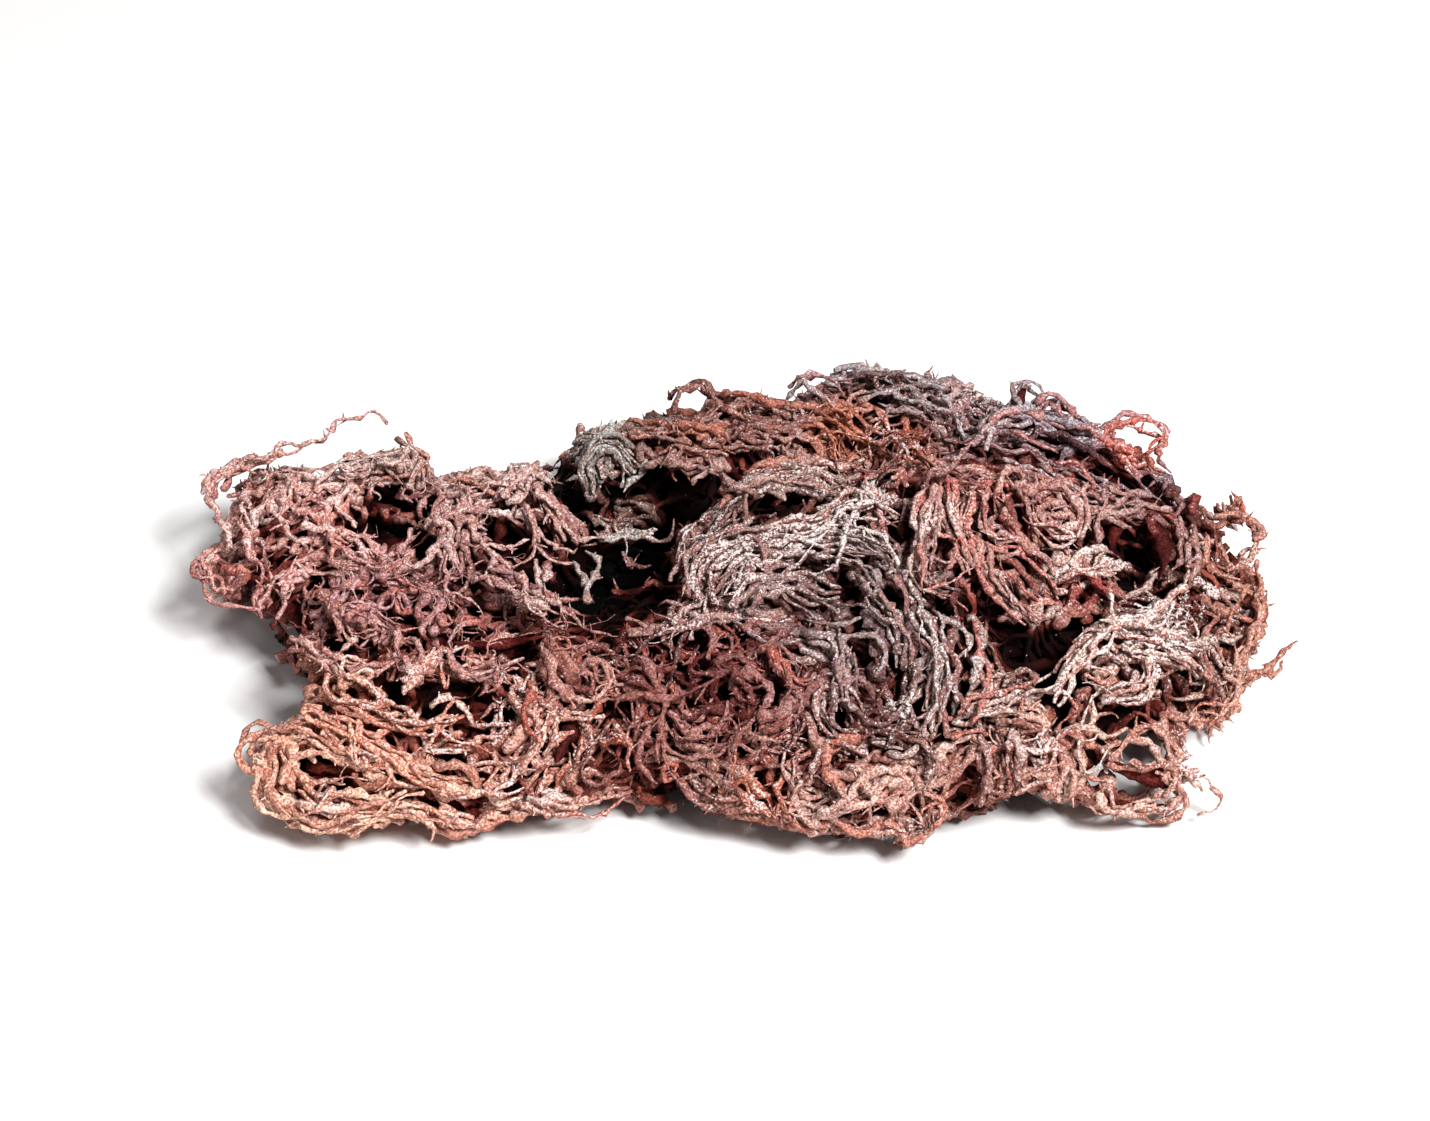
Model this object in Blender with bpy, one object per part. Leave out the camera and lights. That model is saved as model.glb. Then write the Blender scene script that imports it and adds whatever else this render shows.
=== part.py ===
"""Dried irish moss: one tangled heap of wiry seaweed fronds, lying on a flat surface.

The heap is a set of tufts. A tuft is one closed body: a small dense core, trimmed where it meets its
neighbours and the floor, and the strands that grow out of it, lie over the heap and fork on the way.
Strands of different tufts pass over each other without touching. Lengths are in millimetres until a
mesh is made, +Z is up, and the heap is seen from the front, along +Y and from above.
"""

from collections import namedtuple
from math import cos, radians, sin, tau
from random import Random

import bmesh
import bpy
import numpy as np
from mathutils import Vector, noise

MM = 0.001

# The view that the heap is laid out in: mm a pixel, the pixel that the eye is aimed at, and the eye's place
PIXEL = 0.27
PICTURE_MIDDLE = (745, 610)
SIGHT_TILT = radians(38)
SIGHT_DISTANCE = 760.0
SIGHT_AIM = np.array([0.0, -14.0, 20.0])
SIGHT_RIGHT = np.array([1.0, 0.0, 0.0])
SIGHT_UP = np.array([0.0, sin(SIGHT_TILT), cos(SIGHT_TILT)])
SIGHT_FORWARD = np.array([0.0, cos(SIGHT_TILT), -sin(SIGHT_TILT)])
EYE = SIGHT_AIM - SIGHT_FORWARD * SIGHT_DISTANCE

# Cores, and the skin that covers them, on which the strands lie
CORE_SHARE = 0.75
CORE_DENTS = 0.12
CORE_GAP = 0.8
SKIN_DEPTH = 5.0
SKIN_BLEND = 6.0

# Strands, and the room that they keep
BUNDLE_RADIUS = 3.5
STEM_RADIUS = 2.5
TWIG_RADIUS = 1.8
TIP_SHARE = 0.4
STEP = 7.5
BOW = 0.6
ROOT_DEPTH = 3.0
GAP = 0.5
OWN_GAP = 0.3
FLOOR_ROOM = 0.35
PROBE_STEP = 2.0
RISES = (0.0, 0.8, 1.7, 2.8, 4.2, 5.5)
LOOP_REACH = 5.5

SEED = 4
STEM_TRIES = 4
TWIG_SPACING = 2
STRANDS_A_TUFT = 12

# The middle of the finished heap in the layout, so that the origin is on the floor under it
HEAP_MIDDLE = np.array([-4.7, -5.8, 0.0])

# One tuft: where its core shows in the picture, the height of the core's middle, the core's half sizes
# (across, deep, high), its turn about Z, the way its strands run in the picture (degrees above the
# picture's right), how much they wander (degrees a step), how many there are, and its colour.
Tuft = namedtuple("Tuft", "name seen height half turn run wander stems colour")

TUFTS = (
    Tuft("left_rose_tuft", (322, 572), 16.5, (33, 36, 24.5), 10, 60, 20, 5, (0.46, 0.22, 0.22)),
    Tuft("left_back_tuft", (375, 519), 16, (42, 21, 21), -5, 10, 20, 5, (0.50, 0.24, 0.21)),
    Tuft("left_inner_tuft", (490, 572), 16.5, (33, 36, 24.5), 0, -60, 20, 5, (0.44, 0.21, 0.21)),
    Tuft("left_front_tuft", (424, 656), 13.5, (45, 26, 20), -4, 20, 24, 5, (0.36, 0.15, 0.16)),
    Tuft("orange_corner_bundle", (355, 750), 13.5, (29, 25, 20), -8, -20, 10, 4, (0.66, 0.32, 0.24)),
    Tuft("crusted_front_tuft", (490, 743), 14, (32, 26, 21), 10, 40, 18, 5, (0.52, 0.30, 0.27)),
    Tuft("front_red_tuft", (640, 695), 17.5, (40, 33, 25.5), 0, 15, 20, 7, (0.50, 0.18, 0.16)),
    Tuft("hollow_grey_loops", (622, 514), 17, (23, 20, 24), 0, 80, 16, 4, (0.36, 0.31, 0.31)),
    Tuft("hollow_bed_tuft", (612, 592), 8, (35, 38, 11), 0, 30, 20, 4, (0.12, 0.04, 0.05)),
    Tuft("grey_swirl_bundle", (785, 585), 28, (32, 30, 30), 8, 25, 10, 5, (0.44, 0.36, 0.35)),
    Tuft("tan_ridge_tuft", (765, 494), 27, (42, 26, 28), 0, -10, 16, 5, (0.56, 0.27, 0.20)),
    Tuft("purple_crown_tuft", (900, 463), 33, (37, 27, 29), -8, -5, 20, 5, (0.25, 0.14, 0.17)),
    Tuft("purple_shoulder_bundle", (1052, 510), 25, (38, 29, 31), -22, -25, 8, 6, (0.27, 0.14, 0.17)),
    Tuft("coral_bundle", (970, 565), 32, (33, 32, 30), -20, -60, 14, 5, (0.54, 0.24, 0.20)),
    Tuft("dark_fold_tuft", (1110, 586), 20, (32, 32, 28), -15, -70, 16, 5, (0.24, 0.09, 0.09)),
    Tuft("red_rim_tuft", (1184, 612), 14, (20, 37, 20.5), 6, 80, 20, 5, (0.56, 0.20, 0.16)),
    Tuft("crusted_band_tuft", (1075, 670), 17.5, (50, 28, 25), 14, 25, 14, 6, (0.54, 0.38, 0.36)),
    Tuft("ashen_band_tuft", (900, 680), 23, (32, 32, 31), 0, -85, 14, 5, (0.30, 0.24, 0.25)),
    Tuft("inner_rose_tuft", (765, 708), 17, (34, 34, 25), 0, 40, 20, 7, (0.42, 0.17, 0.17)),
    Tuft("front_lip_tuft", (855, 768), 12, (50, 21, 18), 0, 25, 20, 6, (0.60, 0.29, 0.24)),
    Tuft("right_front_tuft", (1045, 740), 13, (40, 23, 19), 6, 15, 20, 5, (0.55, 0.26, 0.24)),
    Tuft("back_left_tuft", (665, 500), 11, (38, 25, 16.5), 0, 0, 18, 6, (0.42, 0.19, 0.18)),
    Tuft("back_middle_tuft", (820, 474), 12, (38, 23, 18), 0, 0, 18, 6, (0.40, 0.18, 0.17)),
    Tuft("back_right_tuft", (1000, 490), 12, (42, 23, 17.5), -14, -10, 18, 6, (0.30, 0.14, 0.15)),
)

# The strands that stand out in the picture, each traced by a few of its points
GUIDES = {
    "left_rose_tuft": (
        [
            (229, 548), (214, 512), (207, 488), (226, 472), (258, 461),
            (292, 449), (328, 437), (366, 417), (388, 424),
        ],
        [(228, 542), (212, 558), (197, 568), (203, 582), (234, 598), (262, 600)],
        [(300, 505), (350, 540), (380, 570), (432, 583)],
        [(262, 628), (272, 598), (300, 572), (352, 566), (400, 590)],
    ),
    "left_back_tuft": (
        [(322, 500), (345, 470), (388, 460), (425, 468), (424, 490)],
        [(402, 436), (411, 449), (420, 462), (404, 486)],
    ),
    "left_inner_tuft": (
        [(520, 510), (540, 538), (556, 556), (578, 562)],
        [(532, 482), (554, 512), (566, 530), (596, 542), (612, 520)],
        [(482, 568), (512, 586), (540, 602), (560, 612), (580, 624)],
        [(444, 510), (455, 540), (457, 566), (450, 590), (455, 606)],
        [(500, 500), (530, 470), (548, 480)],
    ),
    "left_front_tuft": (
        [(290, 640), (330, 662), (372, 668), (412, 650)],
        [(352, 640), (344, 622), (362, 615), (378, 628), (366, 640)],
        [(455, 652), (462, 668), (482, 672), (520, 655)],
    ),
    "orange_corner_bundle": (
        [(262, 776), (246, 756), (258, 738), (300, 728), (334, 748), (366, 762), (400, 768)],
        [(306, 706), (328, 726), (362, 738), (392, 756), (414, 776), (440, 786), (490, 782)],
        [
            (299, 742), (282, 728), (268, 758), (264, 786), (274, 808),
            (318, 825), (364, 820), (402, 798), (430, 786),
        ],
        [(300, 785), (316, 800), (352, 806), (420, 812), (466, 828)],
        [(332, 676), (333, 698), (362, 706), (408, 722), (444, 722), (460, 712)],
    ),
    "crusted_front_tuft": (
        [(436, 786), (480, 790), (506, 776), (526, 756), (540, 722), (554, 702)],
        [(538, 760), (546, 722), (568, 712), (596, 708), (620, 696)],
        [(520, 800), (560, 806), (606, 802), (634, 790)],
    ),
    "front_red_tuft": (
        [(546, 714), (554, 690), (571, 677), (586, 688), (592, 704)],
        [
            (610, 700), (634, 688), (654, 690), (682, 692), (670, 710),
            (672, 732), (692, 746), (730, 744), (754, 746),
        ],
        [(672, 714), (692, 725), (717, 714), (724, 700)],
        [(750, 660), (770, 645), (800, 668)],
        [(694, 780), (700, 800), (712, 802)],
    ),
    "hollow_grey_loops": (
        [(589, 502), (586, 468), (598, 446), (616, 448), (630, 462), (638, 474)],
        [(604, 482), (602, 459), (615, 457), (624, 475)],
        [(600, 540), (636, 536), (658, 533)],
        [(580, 600), (590, 570), (578, 552)],
    ),
    "grey_swirl_bundle": (
        [(690, 604), (684, 572), (698, 551), (736, 538), (775, 531), (813, 525), (850, 502), (872, 494)],
        [(706, 606), (700, 576), (722, 556), (760, 545), (800, 538), (850, 536), (893, 560), (890, 582)],
        [(730, 588), (746, 566), (780, 552), (826, 550), (866, 566)],
        [(857, 490), (878, 502), (900, 518)],
        [(742, 610), (760, 584), (800, 590), (842, 598)],
    ),
    "tan_ridge_tuft": (
        [
            (668, 418), (677, 392), (700, 384), (720, 396), (765, 403),
            (834, 415), (872, 430), (904, 444), (930, 466),
        ],
        [(724, 416), (752, 433), (786, 430), (814, 437), (834, 454)],
        [(708, 465), (728, 482), (753, 491), (780, 482), (814, 474)],
        [(600, 448), (636, 430), (680, 432), (722, 440)],
        [(648, 470), (690, 460), (730, 462)],
    ),
    "purple_crown_tuft": (
        [(824, 382), (852, 375), (890, 376), (930, 386), (960, 396)],
        [(786, 396), (797, 384), (812, 377), (830, 392), (842, 418)],
        [(1014, 418), (1012, 394), (1024, 382), (1037, 390), (1032, 408)],
        [(860, 408), (890, 398), (926, 410), (950, 425)],
    ),
    "purple_shoulder_bundle": (
        [(976, 450), (989, 424), (1015, 416), (1054, 424), (1092, 436), (1124, 454), (1144, 472)],
        [(987, 446), (1027, 449), (1056, 470), (1092, 485), (1120, 494)],
        [(1038, 412), (1050, 401), (1066, 408), (1079, 421), (1100, 430)],
        [
            (1100, 438), (1114, 425), (1136, 421), (1156, 427),
            (1165, 441), (1152, 450), (1152, 466), (1176, 475),
        ],
        [(1000, 462), (1040, 480), (1080, 500), (1112, 508)],
    ),
    "coral_bundle": (
        [(937, 486), (924, 512), (922, 540), (915, 562), (926, 586), (948, 594)],
        [(948, 482), (951, 514), (960, 546), (978, 570)],
        [(977, 492), (978, 524), (994, 545), (1020, 551)],
        [(1020, 494), (1053, 485), (1078, 506), (1078, 526), (1058, 537), (1038, 524), (1031, 504)],
        [(1002, 508), (1022, 538), (1044, 562), (1060, 586)],
        [(974, 540), (987, 577), (1010, 600), (1034, 626)],
    ),
    "dark_fold_tuft": (
        [(1086, 540), (1096, 518), (1118, 508), (1144, 503), (1172, 510)],
        [(1084, 560), (1100, 590), (1120, 606)],
        [(1180, 520), (1188, 560), (1180, 590)],
    ),
    "red_rim_tuft": (
        [
            (1196, 514), (1214, 520), (1234, 512), (1254, 524),
            (1258, 548), (1244, 566), (1224, 576), (1213, 536),
        ],
        [(1242, 499), (1236, 516), (1226, 500)],
        [
            (1253, 562), (1261, 600), (1256, 634), (1243, 656),
            (1235, 682), (1234, 700), (1215, 718), (1200, 716),
        ],
        [(1236, 690), (1254, 677), (1272, 669), (1286, 659), (1295, 647)],
        [(1222, 610), (1212, 640), (1224, 668)],
    ),
    "crusted_band_tuft": (
        [(1046, 702), (1065, 676), (1089, 646), (1111, 628), (1147, 618), (1174, 597), (1188, 586)],
        [(940, 716), (962, 720), (981, 706), (1010, 698), (1037, 683), (1060, 672)],
        [(1110, 640), (1150, 650), (1190, 662), (1200, 680)],
        [(1100, 700), (1140, 690), (1150, 660)],
    ),
    "ashen_band_tuft": (
        [(902, 572), (913, 608), (932, 638), (942, 668), (936, 704), (931, 738)],
        [(871, 594), (894, 617), (903, 641), (900, 668)],
        [(867, 744), (846, 740), (829, 723), (826, 703), (843, 696), (860, 710), (865, 730)],
        [(812, 633), (834, 641), (845, 660), (844, 686)],
        [(872, 744), (900, 748), (920, 736)],
    ),
    "front_lip_tuft": (
        [(791, 752), (793, 780), (793, 806), (812, 827), (834, 806), (864, 790), (884, 775), (924, 761)],
        [(817, 828), (859, 832), (894, 827), (910, 840), (929, 832), (947, 808), (932, 802), (908, 814)],
        [(782, 822), (778, 808), (790, 800)],
        [(950, 744), (976, 728), (985, 752)],
    ),
    "right_front_tuft": (
        [(990, 716), (1020, 718), (1042, 728), (1020, 738)],
        [
            (1112, 770), (1120, 749), (1147, 732), (1165, 745),
            (1175, 767), (1211, 788), (1213, 804), (1189, 821),
        ],
        [
            (1106, 768), (1138, 773), (1159, 771), (1182, 796),
            (1168, 813), (1138, 809), (1110, 808), (1098, 788),
        ],
        [(980, 800), (1010, 780), (1050, 776)],
    ),
}


# The heap's smooth skin

def sight(picture_point):
    """The direction in which the eye sees a point of the picture."""
    across = (picture_point[0] - PICTURE_MIDDLE[0]) * PIXEL
    upward = (PICTURE_MIDDLE[1] - picture_point[1]) * PIXEL
    direction = SIGHT_AIM + SIGHT_RIGHT * across + SIGHT_UP * upward - EYE
    return direction / np.linalg.norm(direction)


def seen_at_height(picture_point, height):
    """The point at this height that shows at a point of the picture."""
    direction = sight(picture_point)
    return EYE + direction * ((height - EYE[2]) / direction[2])


def turn_of(degrees):
    """World to core axes for a core turned about Z."""
    c, s = cos(radians(degrees)), sin(radians(degrees))
    return np.array([[c, s, 0], [-s, c, 0], [0, 0, 1]])


CENTRES = np.array([seen_at_height(tuft.seen, tuft.height) for tuft in TUFTS])
HALVES = np.array([tuft.half for tuft in TUFTS], float) * CORE_SHARE
TURNS = np.array([turn_of(tuft.turn) for tuft in TUFTS])


def core_distances(points):
    """About how far each point stands from each tuft's core, as (points, tufts)."""
    local = np.einsum("tij,ntj->nti", TURNS, points[:, None, :] - CENTRES)
    scaled = np.linalg.norm(local / HALVES, axis=2)
    slope = np.linalg.norm(local / HALVES**2, axis=2)
    return scaled * (scaled - 1) / np.maximum(slope, 1e-9)


def skin(points):
    """How far each point stands from the heap's smooth skin, which covers all the cores."""
    distances = core_distances(points) - SKIN_DEPTH
    nearest = distances.min(axis=1)
    return nearest - SKIN_BLEND * np.log(np.exp((nearest[:, None] - distances) / SKIN_BLEND).sum(axis=1))


def outward(points):
    """The skin's outward direction at each point."""
    reach = 0.5
    offsets = np.eye(3) * reach
    slope = np.stack([skin(points + offset) - skin(points - offset) for offset in offsets], axis=1)
    return slope / np.maximum(np.linalg.norm(slope, axis=1, keepdims=True), 1e-9)


# Strands

Strand = namedtuple("Strand", "tuft points radii")


def spaced(points, step):
    """A smooth curve through the points, with a point about every step."""
    points = np.asarray(points, float)
    ends = np.vstack([2 * points[0] - points[1], points, 2 * points[-1] - points[-2]])
    curve = []
    for a, b, c, d in zip(ends, ends[1:], ends[2:], ends[3:]):
        for t in np.linspace(0, 1, 12, endpoint=False):
            square = (2 * a - 5 * b + 4 * c - d) * t**2
            cube = (3 * b - a - 3 * c + d) * t**3
            curve.append((2 * b + (c - a) * t + square + cube) / 2)
    curve = np.array([*curve, points[-1]])
    along = np.concatenate([[0], np.cumsum(np.linalg.norm(np.diff(curve, axis=0), axis=1))])
    count = max(2, round(along[-1] / step))
    stations = np.linspace(0, along[-1], count + 1)
    return np.stack([np.interp(stations, along, curve[:, axis]) for axis in range(curve.shape[1])], axis=1)


def thinned(points):
    """The points without those that a straight stretch passes within BOW of."""
    if len(points) < 3:
        return points
    start, span = points[0], points[-1] - points[0]
    share = np.clip((points - start) @ span / max(span @ span, 1e-9), 0, 1)
    off = np.linalg.norm(points - start - share[:, None] * span, axis=1)
    farthest = int(np.argmax(off))
    if off[farthest] <= BOW:
        return points[[0, -1]]
    return np.vstack([thinned(points[: farthest + 1]), thinned(points[farthest:])[1:]])


def traced(picture_points, lift):
    """A strand that shows along these points of the picture and lies on the heap, or passes close by it."""
    seen = spaced(picture_points, 0.5 * STEP / PIXEL)
    directions = np.array([sight(point) for point in seen])
    depths = np.arange(SIGHT_DISTANCE - 150, SIGHT_DISTANCE + 190, 1.5)
    lowest = STEM_RADIUS + FLOOR_ROOM
    chosen = []
    for direction in directions:
        line = EYE + depths[:, None] * direction
        above = line[:, 2] > lowest
        rise = np.where(above, skin(line), np.inf)
        hits = np.flatnonzero(rise < lift)
        chosen.append(depths[hits[0] if len(hits) else np.argmin(rise)])
    chosen = np.array(chosen)
    padded = np.pad(chosen, 2, mode="edge")
    count = len(chosen)
    nearest = np.min([padded[shift : shift + count] for shift in range(5)], axis=0)
    padded = np.pad(nearest, 2, mode="edge")
    smooth = np.mean([padded[shift : shift + count] for shift in range(5)], axis=0)
    return EYE + smooth[:, None] * directions


def crept(rng, start, heading, length, lift, wander, curl=0.0):
    """A strand that creeps over the heap's skin from start, wandering and curling as it goes."""
    points = [np.array(start, float)]
    heading = np.array(heading, float)
    swerve = 0.0
    for _ in range(max(2, round(length / STEP))):
        here = points[-1][None]
        normal = outward(here)[0]
        swerve = 0.6 * swerve + radians(rng.gauss(0, wander))
        heading = turned(heading - normal * heading.dot(normal), normal, swerve + curl)
        climb = np.clip((lift - skin(here)[0]) / STEP, -0.7, 0.7)
        heading = unit(unit(heading) + normal * climb)
        ahead = points[-1] + heading * STEP
        ahead[2] = max(ahead[2], STEM_RADIUS + FLOOR_ROOM)
        points.append(ahead)
    return np.array(points)


def unit(vector):
    """The vector at length 1."""
    return vector / max(np.linalg.norm(vector), 1e-9)


def turned(vector, axis, angle):
    """The vector turned about a unit axis."""
    return (
        vector * cos(angle)
        + np.cross(axis, vector) * sin(angle)
        + axis * axis.dot(vector) * (1 - cos(angle))
    )


class Pile:
    """The strands laid so far, as straight stretches that later strands keep clear of."""

    def __init__(self):
        self.strands = []
        self.starts = np.empty((0, 3))
        self.ends = np.empty((0, 3))
        self.radii = np.empty(0)
        self.owners = np.empty(0, int)

    def reach(self, point):
        """How far a point is from the nearest end of a laid stretch."""
        return min(
            (np.linalg.norm(ends - point, axis=1).min() for ends in (self.starts, self.ends) if len(ends)),
            default=np.inf,
        )

    def fits(self, start, end, radius, tuft, own_gap):
        """Whether a stretch keeps clear of other tufts, and of its own unless own_gap is None."""
        count = 1 + int(np.linalg.norm(end - start) / PROBE_STEP)
        probes = start + (end - start) * (np.arange(1, count + 1) / count)[:, None]
        own_gap = -np.inf if own_gap is None else own_gap
        cores = core_distances(probes).min(axis=0)
        gaps = np.where(np.arange(len(TUFTS)) == tuft, own_gap, GAP)
        if (cores - radius < gaps).any():
            return False
        if not len(self.starts):
            return True
        spans = self.ends - self.starts
        to_probe = probes[:, None, :] - self.starts
        share = np.clip((to_probe * spans).sum(axis=2) / (spans**2).sum(axis=1), 0, 1)
        apart = np.linalg.norm(to_probe - share[..., None] * spans, axis=2).min(axis=0)
        gaps = np.where(self.owners == tuft, own_gap, GAP)
        return not (apart - self.radii - radius < gaps).any()

    def way_clear(self, tuft, points, radii, own_gap):
        """The points, raised where they would touch another strand, up to where there is no way on."""
        clear = [points[0]]
        for point, normal, radius in zip(points[1:], outward(points[1:]), radii[1:]):
            up = unit(normal + [0, 0, 0.4])
            gap = None if len(clear) == 1 else own_gap
            for rise in RISES:
                raised = point + up * rise
                raised[2] = max(raised[2], radius + FLOOR_ROOM)
                if self.fits(clear[-1], raised, radius, tuft, gap):
                    clear.append(raised)
                    break
            else:
                break
        return np.array(clear)

    def lay(self, tuft, points, radii):
        """Adds a strand, if it has at least a root and a stretch beyond it."""
        if len(points) < 3:
            return
        radii = radii[: len(points)].copy()
        radii[-1] = min(radii[-1], radii[0] * TIP_SHARE)
        self.strands.append(Strand(tuft, points, radii))
        self.starts = np.vstack([self.starts, points[:-1]])
        self.ends = np.vstack([self.ends, points[1:]])
        self.radii = np.append(self.radii, np.maximum(radii[:-1], radii[1:]))
        self.owners = np.append(self.owners, np.full(len(points) - 1, tuft))


def knobbly(rng, count, radius):
    """Radii along a strand, which swells and narrows on its way and thins toward its tip."""
    return radius * np.linspace(1, 0.7, count) * [rng.uniform(0.85, 1.12) for _ in range(count)]


def bare_point(rng, pile, tuft):
    """The barest of some random points on the open side of a tuft, where its skin lies."""
    barest, bareness = None, 0.0
    for _ in range(40):
        ball = unit(np.array([rng.gauss(0, 1), rng.gauss(0, 1), rng.gauss(0.1, 0.6)]))
        point = CENTRES[tuft] + TURNS[tuft].T @ (ball * (HALVES[tuft] + SKIN_DEPTH + 1))
        others = np.delete(core_distances(point[None])[0], tuft)
        if others.min() > STEM_RADIUS + GAP and point[2] > STEM_RADIUS + FLOOR_ROOM:
            apart = pile.reach(point)
            if apart > bareness:
                barest, bareness = point, apart
    return barest


def picture_direction(degrees, point):
    """A direction along the skin by a point that runs at this angle in the picture."""
    normal = outward(point[None])[0]
    across, upward = cos(radians(degrees)), sin(radians(degrees))
    flat = np.array([across, upward * 1.2, 0.0])
    return unit(flat - normal * flat.dot(normal))


def rooted(tuft, points):
    """The points, thinned out, from a root that is sunk in the tuft's core below their nearer end."""
    if core_distances(points[-1:])[0, tuft] < core_distances(points[:1])[0, tuft]:
        points = points[::-1]
    to_core = unit(CENTRES[tuft] - points[0])
    reach = core_distances(points[:1])[0, tuft]
    root = points[0] + to_core * (max(reach, 0) + ROOT_DEPTH)
    return np.vstack([root, thinned(points)])


def lay_traces(rng, pile, traces):
    """The strands that stand out in the picture. They may lie against others of their tuft."""
    for tuft, points in traces:
        points = rooted(tuft, points)
        radii = knobbly(rng, len(points), STEM_RADIUS)
        pile.lay(tuft, pile.way_clear(tuft, points, radii, None), radii)


def lay_bundled_stems(rng, pile):
    """Each tuft's own stems, which lie low along the way that it runs, where it is barest and they fit."""
    for layer in range(max(tuft.stems for tuft in TUFTS)):
        for index, tuft in enumerate(TUFTS):
            if layer >= tuft.stems:
                continue
            longest, its_radii = [], None
            for _ in range(STEM_TRIES):
                start = bare_point(rng, pile, index)
                if start is None:
                    continue
                heading = picture_direction(tuft.run + rng.gauss(0, 16) + rng.choice((0, 180)), start)
                points = crept(rng, start, heading, rng.uniform(45, 70), rng.uniform(-1, 0), tuft.wander)
                points = rooted(index, points)
                radii = knobbly(rng, len(points), BUNDLE_RADIUS)
                points = pile.way_clear(index, points, radii, OWN_GAP)
                if len(points) > len(longest):
                    longest, its_radii = points, radii
            pile.lay(index, longest, its_radii)


def lay_twigs(rng, pile):
    """Side branches, which fork off on alternate sides and curl over at their tips."""
    counts = [sum(strand.tuft == index for strand in pile.strands) for index in range(len(TUFTS))]
    for strand in list(pile.strands):
        side = rng.choice((-1, 1))
        for index in range(2, len(strand.points) - 1, TWIG_SPACING):
            if counts[strand.tuft] >= STRANDS_A_TUFT:
                break
            at = strand.points[index]
            normal = outward(at[None])[0]
            along = unit(strand.points[index + 1] - at)
            heading = turned(along, normal, side * radians(rng.uniform(45, 75)))
            heading = unit(heading + normal * rng.uniform(-0.1, 0.5))
            lift = skin(at[None])[0] + rng.uniform(0, 3)
            curl = side * radians(rng.uniform(-15, 40))
            points = thinned(crept(rng, at, heading, rng.uniform(14, 28), lift, 8, curl))
            radii = knobbly(rng, len(points), min(TWIG_RADIUS, strand.radii[index] * 0.9))
            points = pile.way_clear(strand.tuft, points, radii, OWN_GAP)
            pile.lay(strand.tuft, points, radii)
            counts[strand.tuft] += len(points) > 2
            side = -side


def grow_heap():
    """Every strand: the traced loops at the rim, the bundled stems, the other traced ones, side branches."""
    rng = Random(SEED)
    pile = Pile()
    traces = [
        (index, traced(guide, STEM_RADIUS))
        for index, tuft in enumerate(TUFTS)
        for guide in GUIDES.get(tuft.name, ())
    ]
    loops = [trace for trace in traces if skin(trace[1]).max() > LOOP_REACH]
    lay_traces(rng, pile, loops)
    lay_bundled_stems(rng, pile)
    lay_traces(rng, pile, [trace for trace in traces if skin(trace[1]).max() <= LOOP_REACH])
    lay_twigs(rng, pile)
    return pile.strands


# Solids

def curve_tube(name, points, radii, profile):
    """A tube with a three-sided section along the points, as a closed mesh object."""
    curve = bpy.data.curves.new(name, "CURVE")
    curve.dimensions = "3D"
    curve.bevel_mode = "OBJECT"
    curve.bevel_object = profile
    curve.use_fill_caps = True
    spline = curve.splines.new("POLY")
    spline.points.add(len(points) - 1)
    for spot, point, radius in zip(spline.points, (points - HEAP_MIDDLE) * MM, radii):
        spot.co = (*point, 1)
        spot.radius = radius
    guide = bpy.data.objects.new(name, curve)
    bpy.context.scene.collection.objects.link(guide)
    graph = bpy.context.evaluated_depsgraph_get()
    mesh = bpy.data.meshes.new_from_object(guide.evaluated_get(graph))
    bpy.data.objects.remove(guide)
    bpy.data.curves.remove(curve)
    return bpy.data.objects.new(name, closed(mesh))


def closed(mesh):
    """The mesh with its caps welded on and its faces pointing out."""
    shape = bmesh.new()
    shape.from_mesh(mesh)
    bmesh.ops.remove_doubles(shape, verts=shape.verts, dist=1e-6)
    bmesh.ops.recalc_face_normals(shape, faces=shape.faces)
    shape.to_mesh(mesh)
    shape.free()
    return mesh


def strand_profile():
    """The strands' three-sided section, of 1 mm radius."""
    outline = bpy.data.curves.new("strand_profile", "CURVE")
    outline.dimensions = "2D"
    spline = outline.splines.new("POLY")
    spline.points.add(2)
    for corner, spot in enumerate(spline.points):
        angle = tau * corner / 3
        spot.co = (cos(angle) * MM, sin(angle) * MM, 0, 1)
    spline.use_cyclic_u = True
    guide = bpy.data.objects.new("strand_profile", outline)
    guide.hide_render = True
    bpy.context.scene.collection.objects.link(guide)
    return guide


def core_object(index):
    """A tuft's core: a knobbly ellipsoid, trimmed at the floor and where it meets a neighbour."""
    shape = bmesh.new()
    bmesh.ops.create_icosphere(shape, subdivisions=2, radius=1)
    for vert in shape.verts:
        dent = 1 - CORE_DENTS * abs(noise.noise(Vector(vert.co) * 2.1 + Vector((index * 7.0, 0, 0))))
        vert.co = Vector(CENTRES[index] + TURNS[index].T @ (np.array(vert.co) * HALVES[index] * dent))
    trim(shape, Vector((0, 0, 0)), Vector((0, 0, -1)))
    for other in range(len(TUFTS)):
        if other != index:
            trim_at_neighbour(shape, index, other)
    for vert in shape.verts:
        vert.co = (vert.co - Vector(HEAP_MIDDLE)) * MM
    mesh = bpy.data.meshes.new(TUFTS[index].name)
    shape.to_mesh(mesh)
    shape.free()
    core = bpy.data.objects.new(TUFTS[index].name, closed(mesh))
    bpy.context.scene.collection.objects.link(core)
    return core


def trim_at_neighbour(shape, index, other):
    """Cuts a core back to the plane halfway, by size, between it and a neighbour that it would reach."""
    between = CENTRES[other] - CENTRES[index]
    distance = np.linalg.norm(between)
    toward = between / distance
    own = support(index, toward)
    their = support(other, -toward)
    if own + their < distance + CORE_GAP:
        return
    at = CENTRES[index] + toward * (distance * own / (own + their) - CORE_GAP / 2)
    trim(shape, Vector(at), Vector(toward))


def support(index, direction):
    """How far a core's ellipsoid reaches in a direction."""
    return np.linalg.norm((TURNS[index] @ direction) * HALVES[index])


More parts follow.
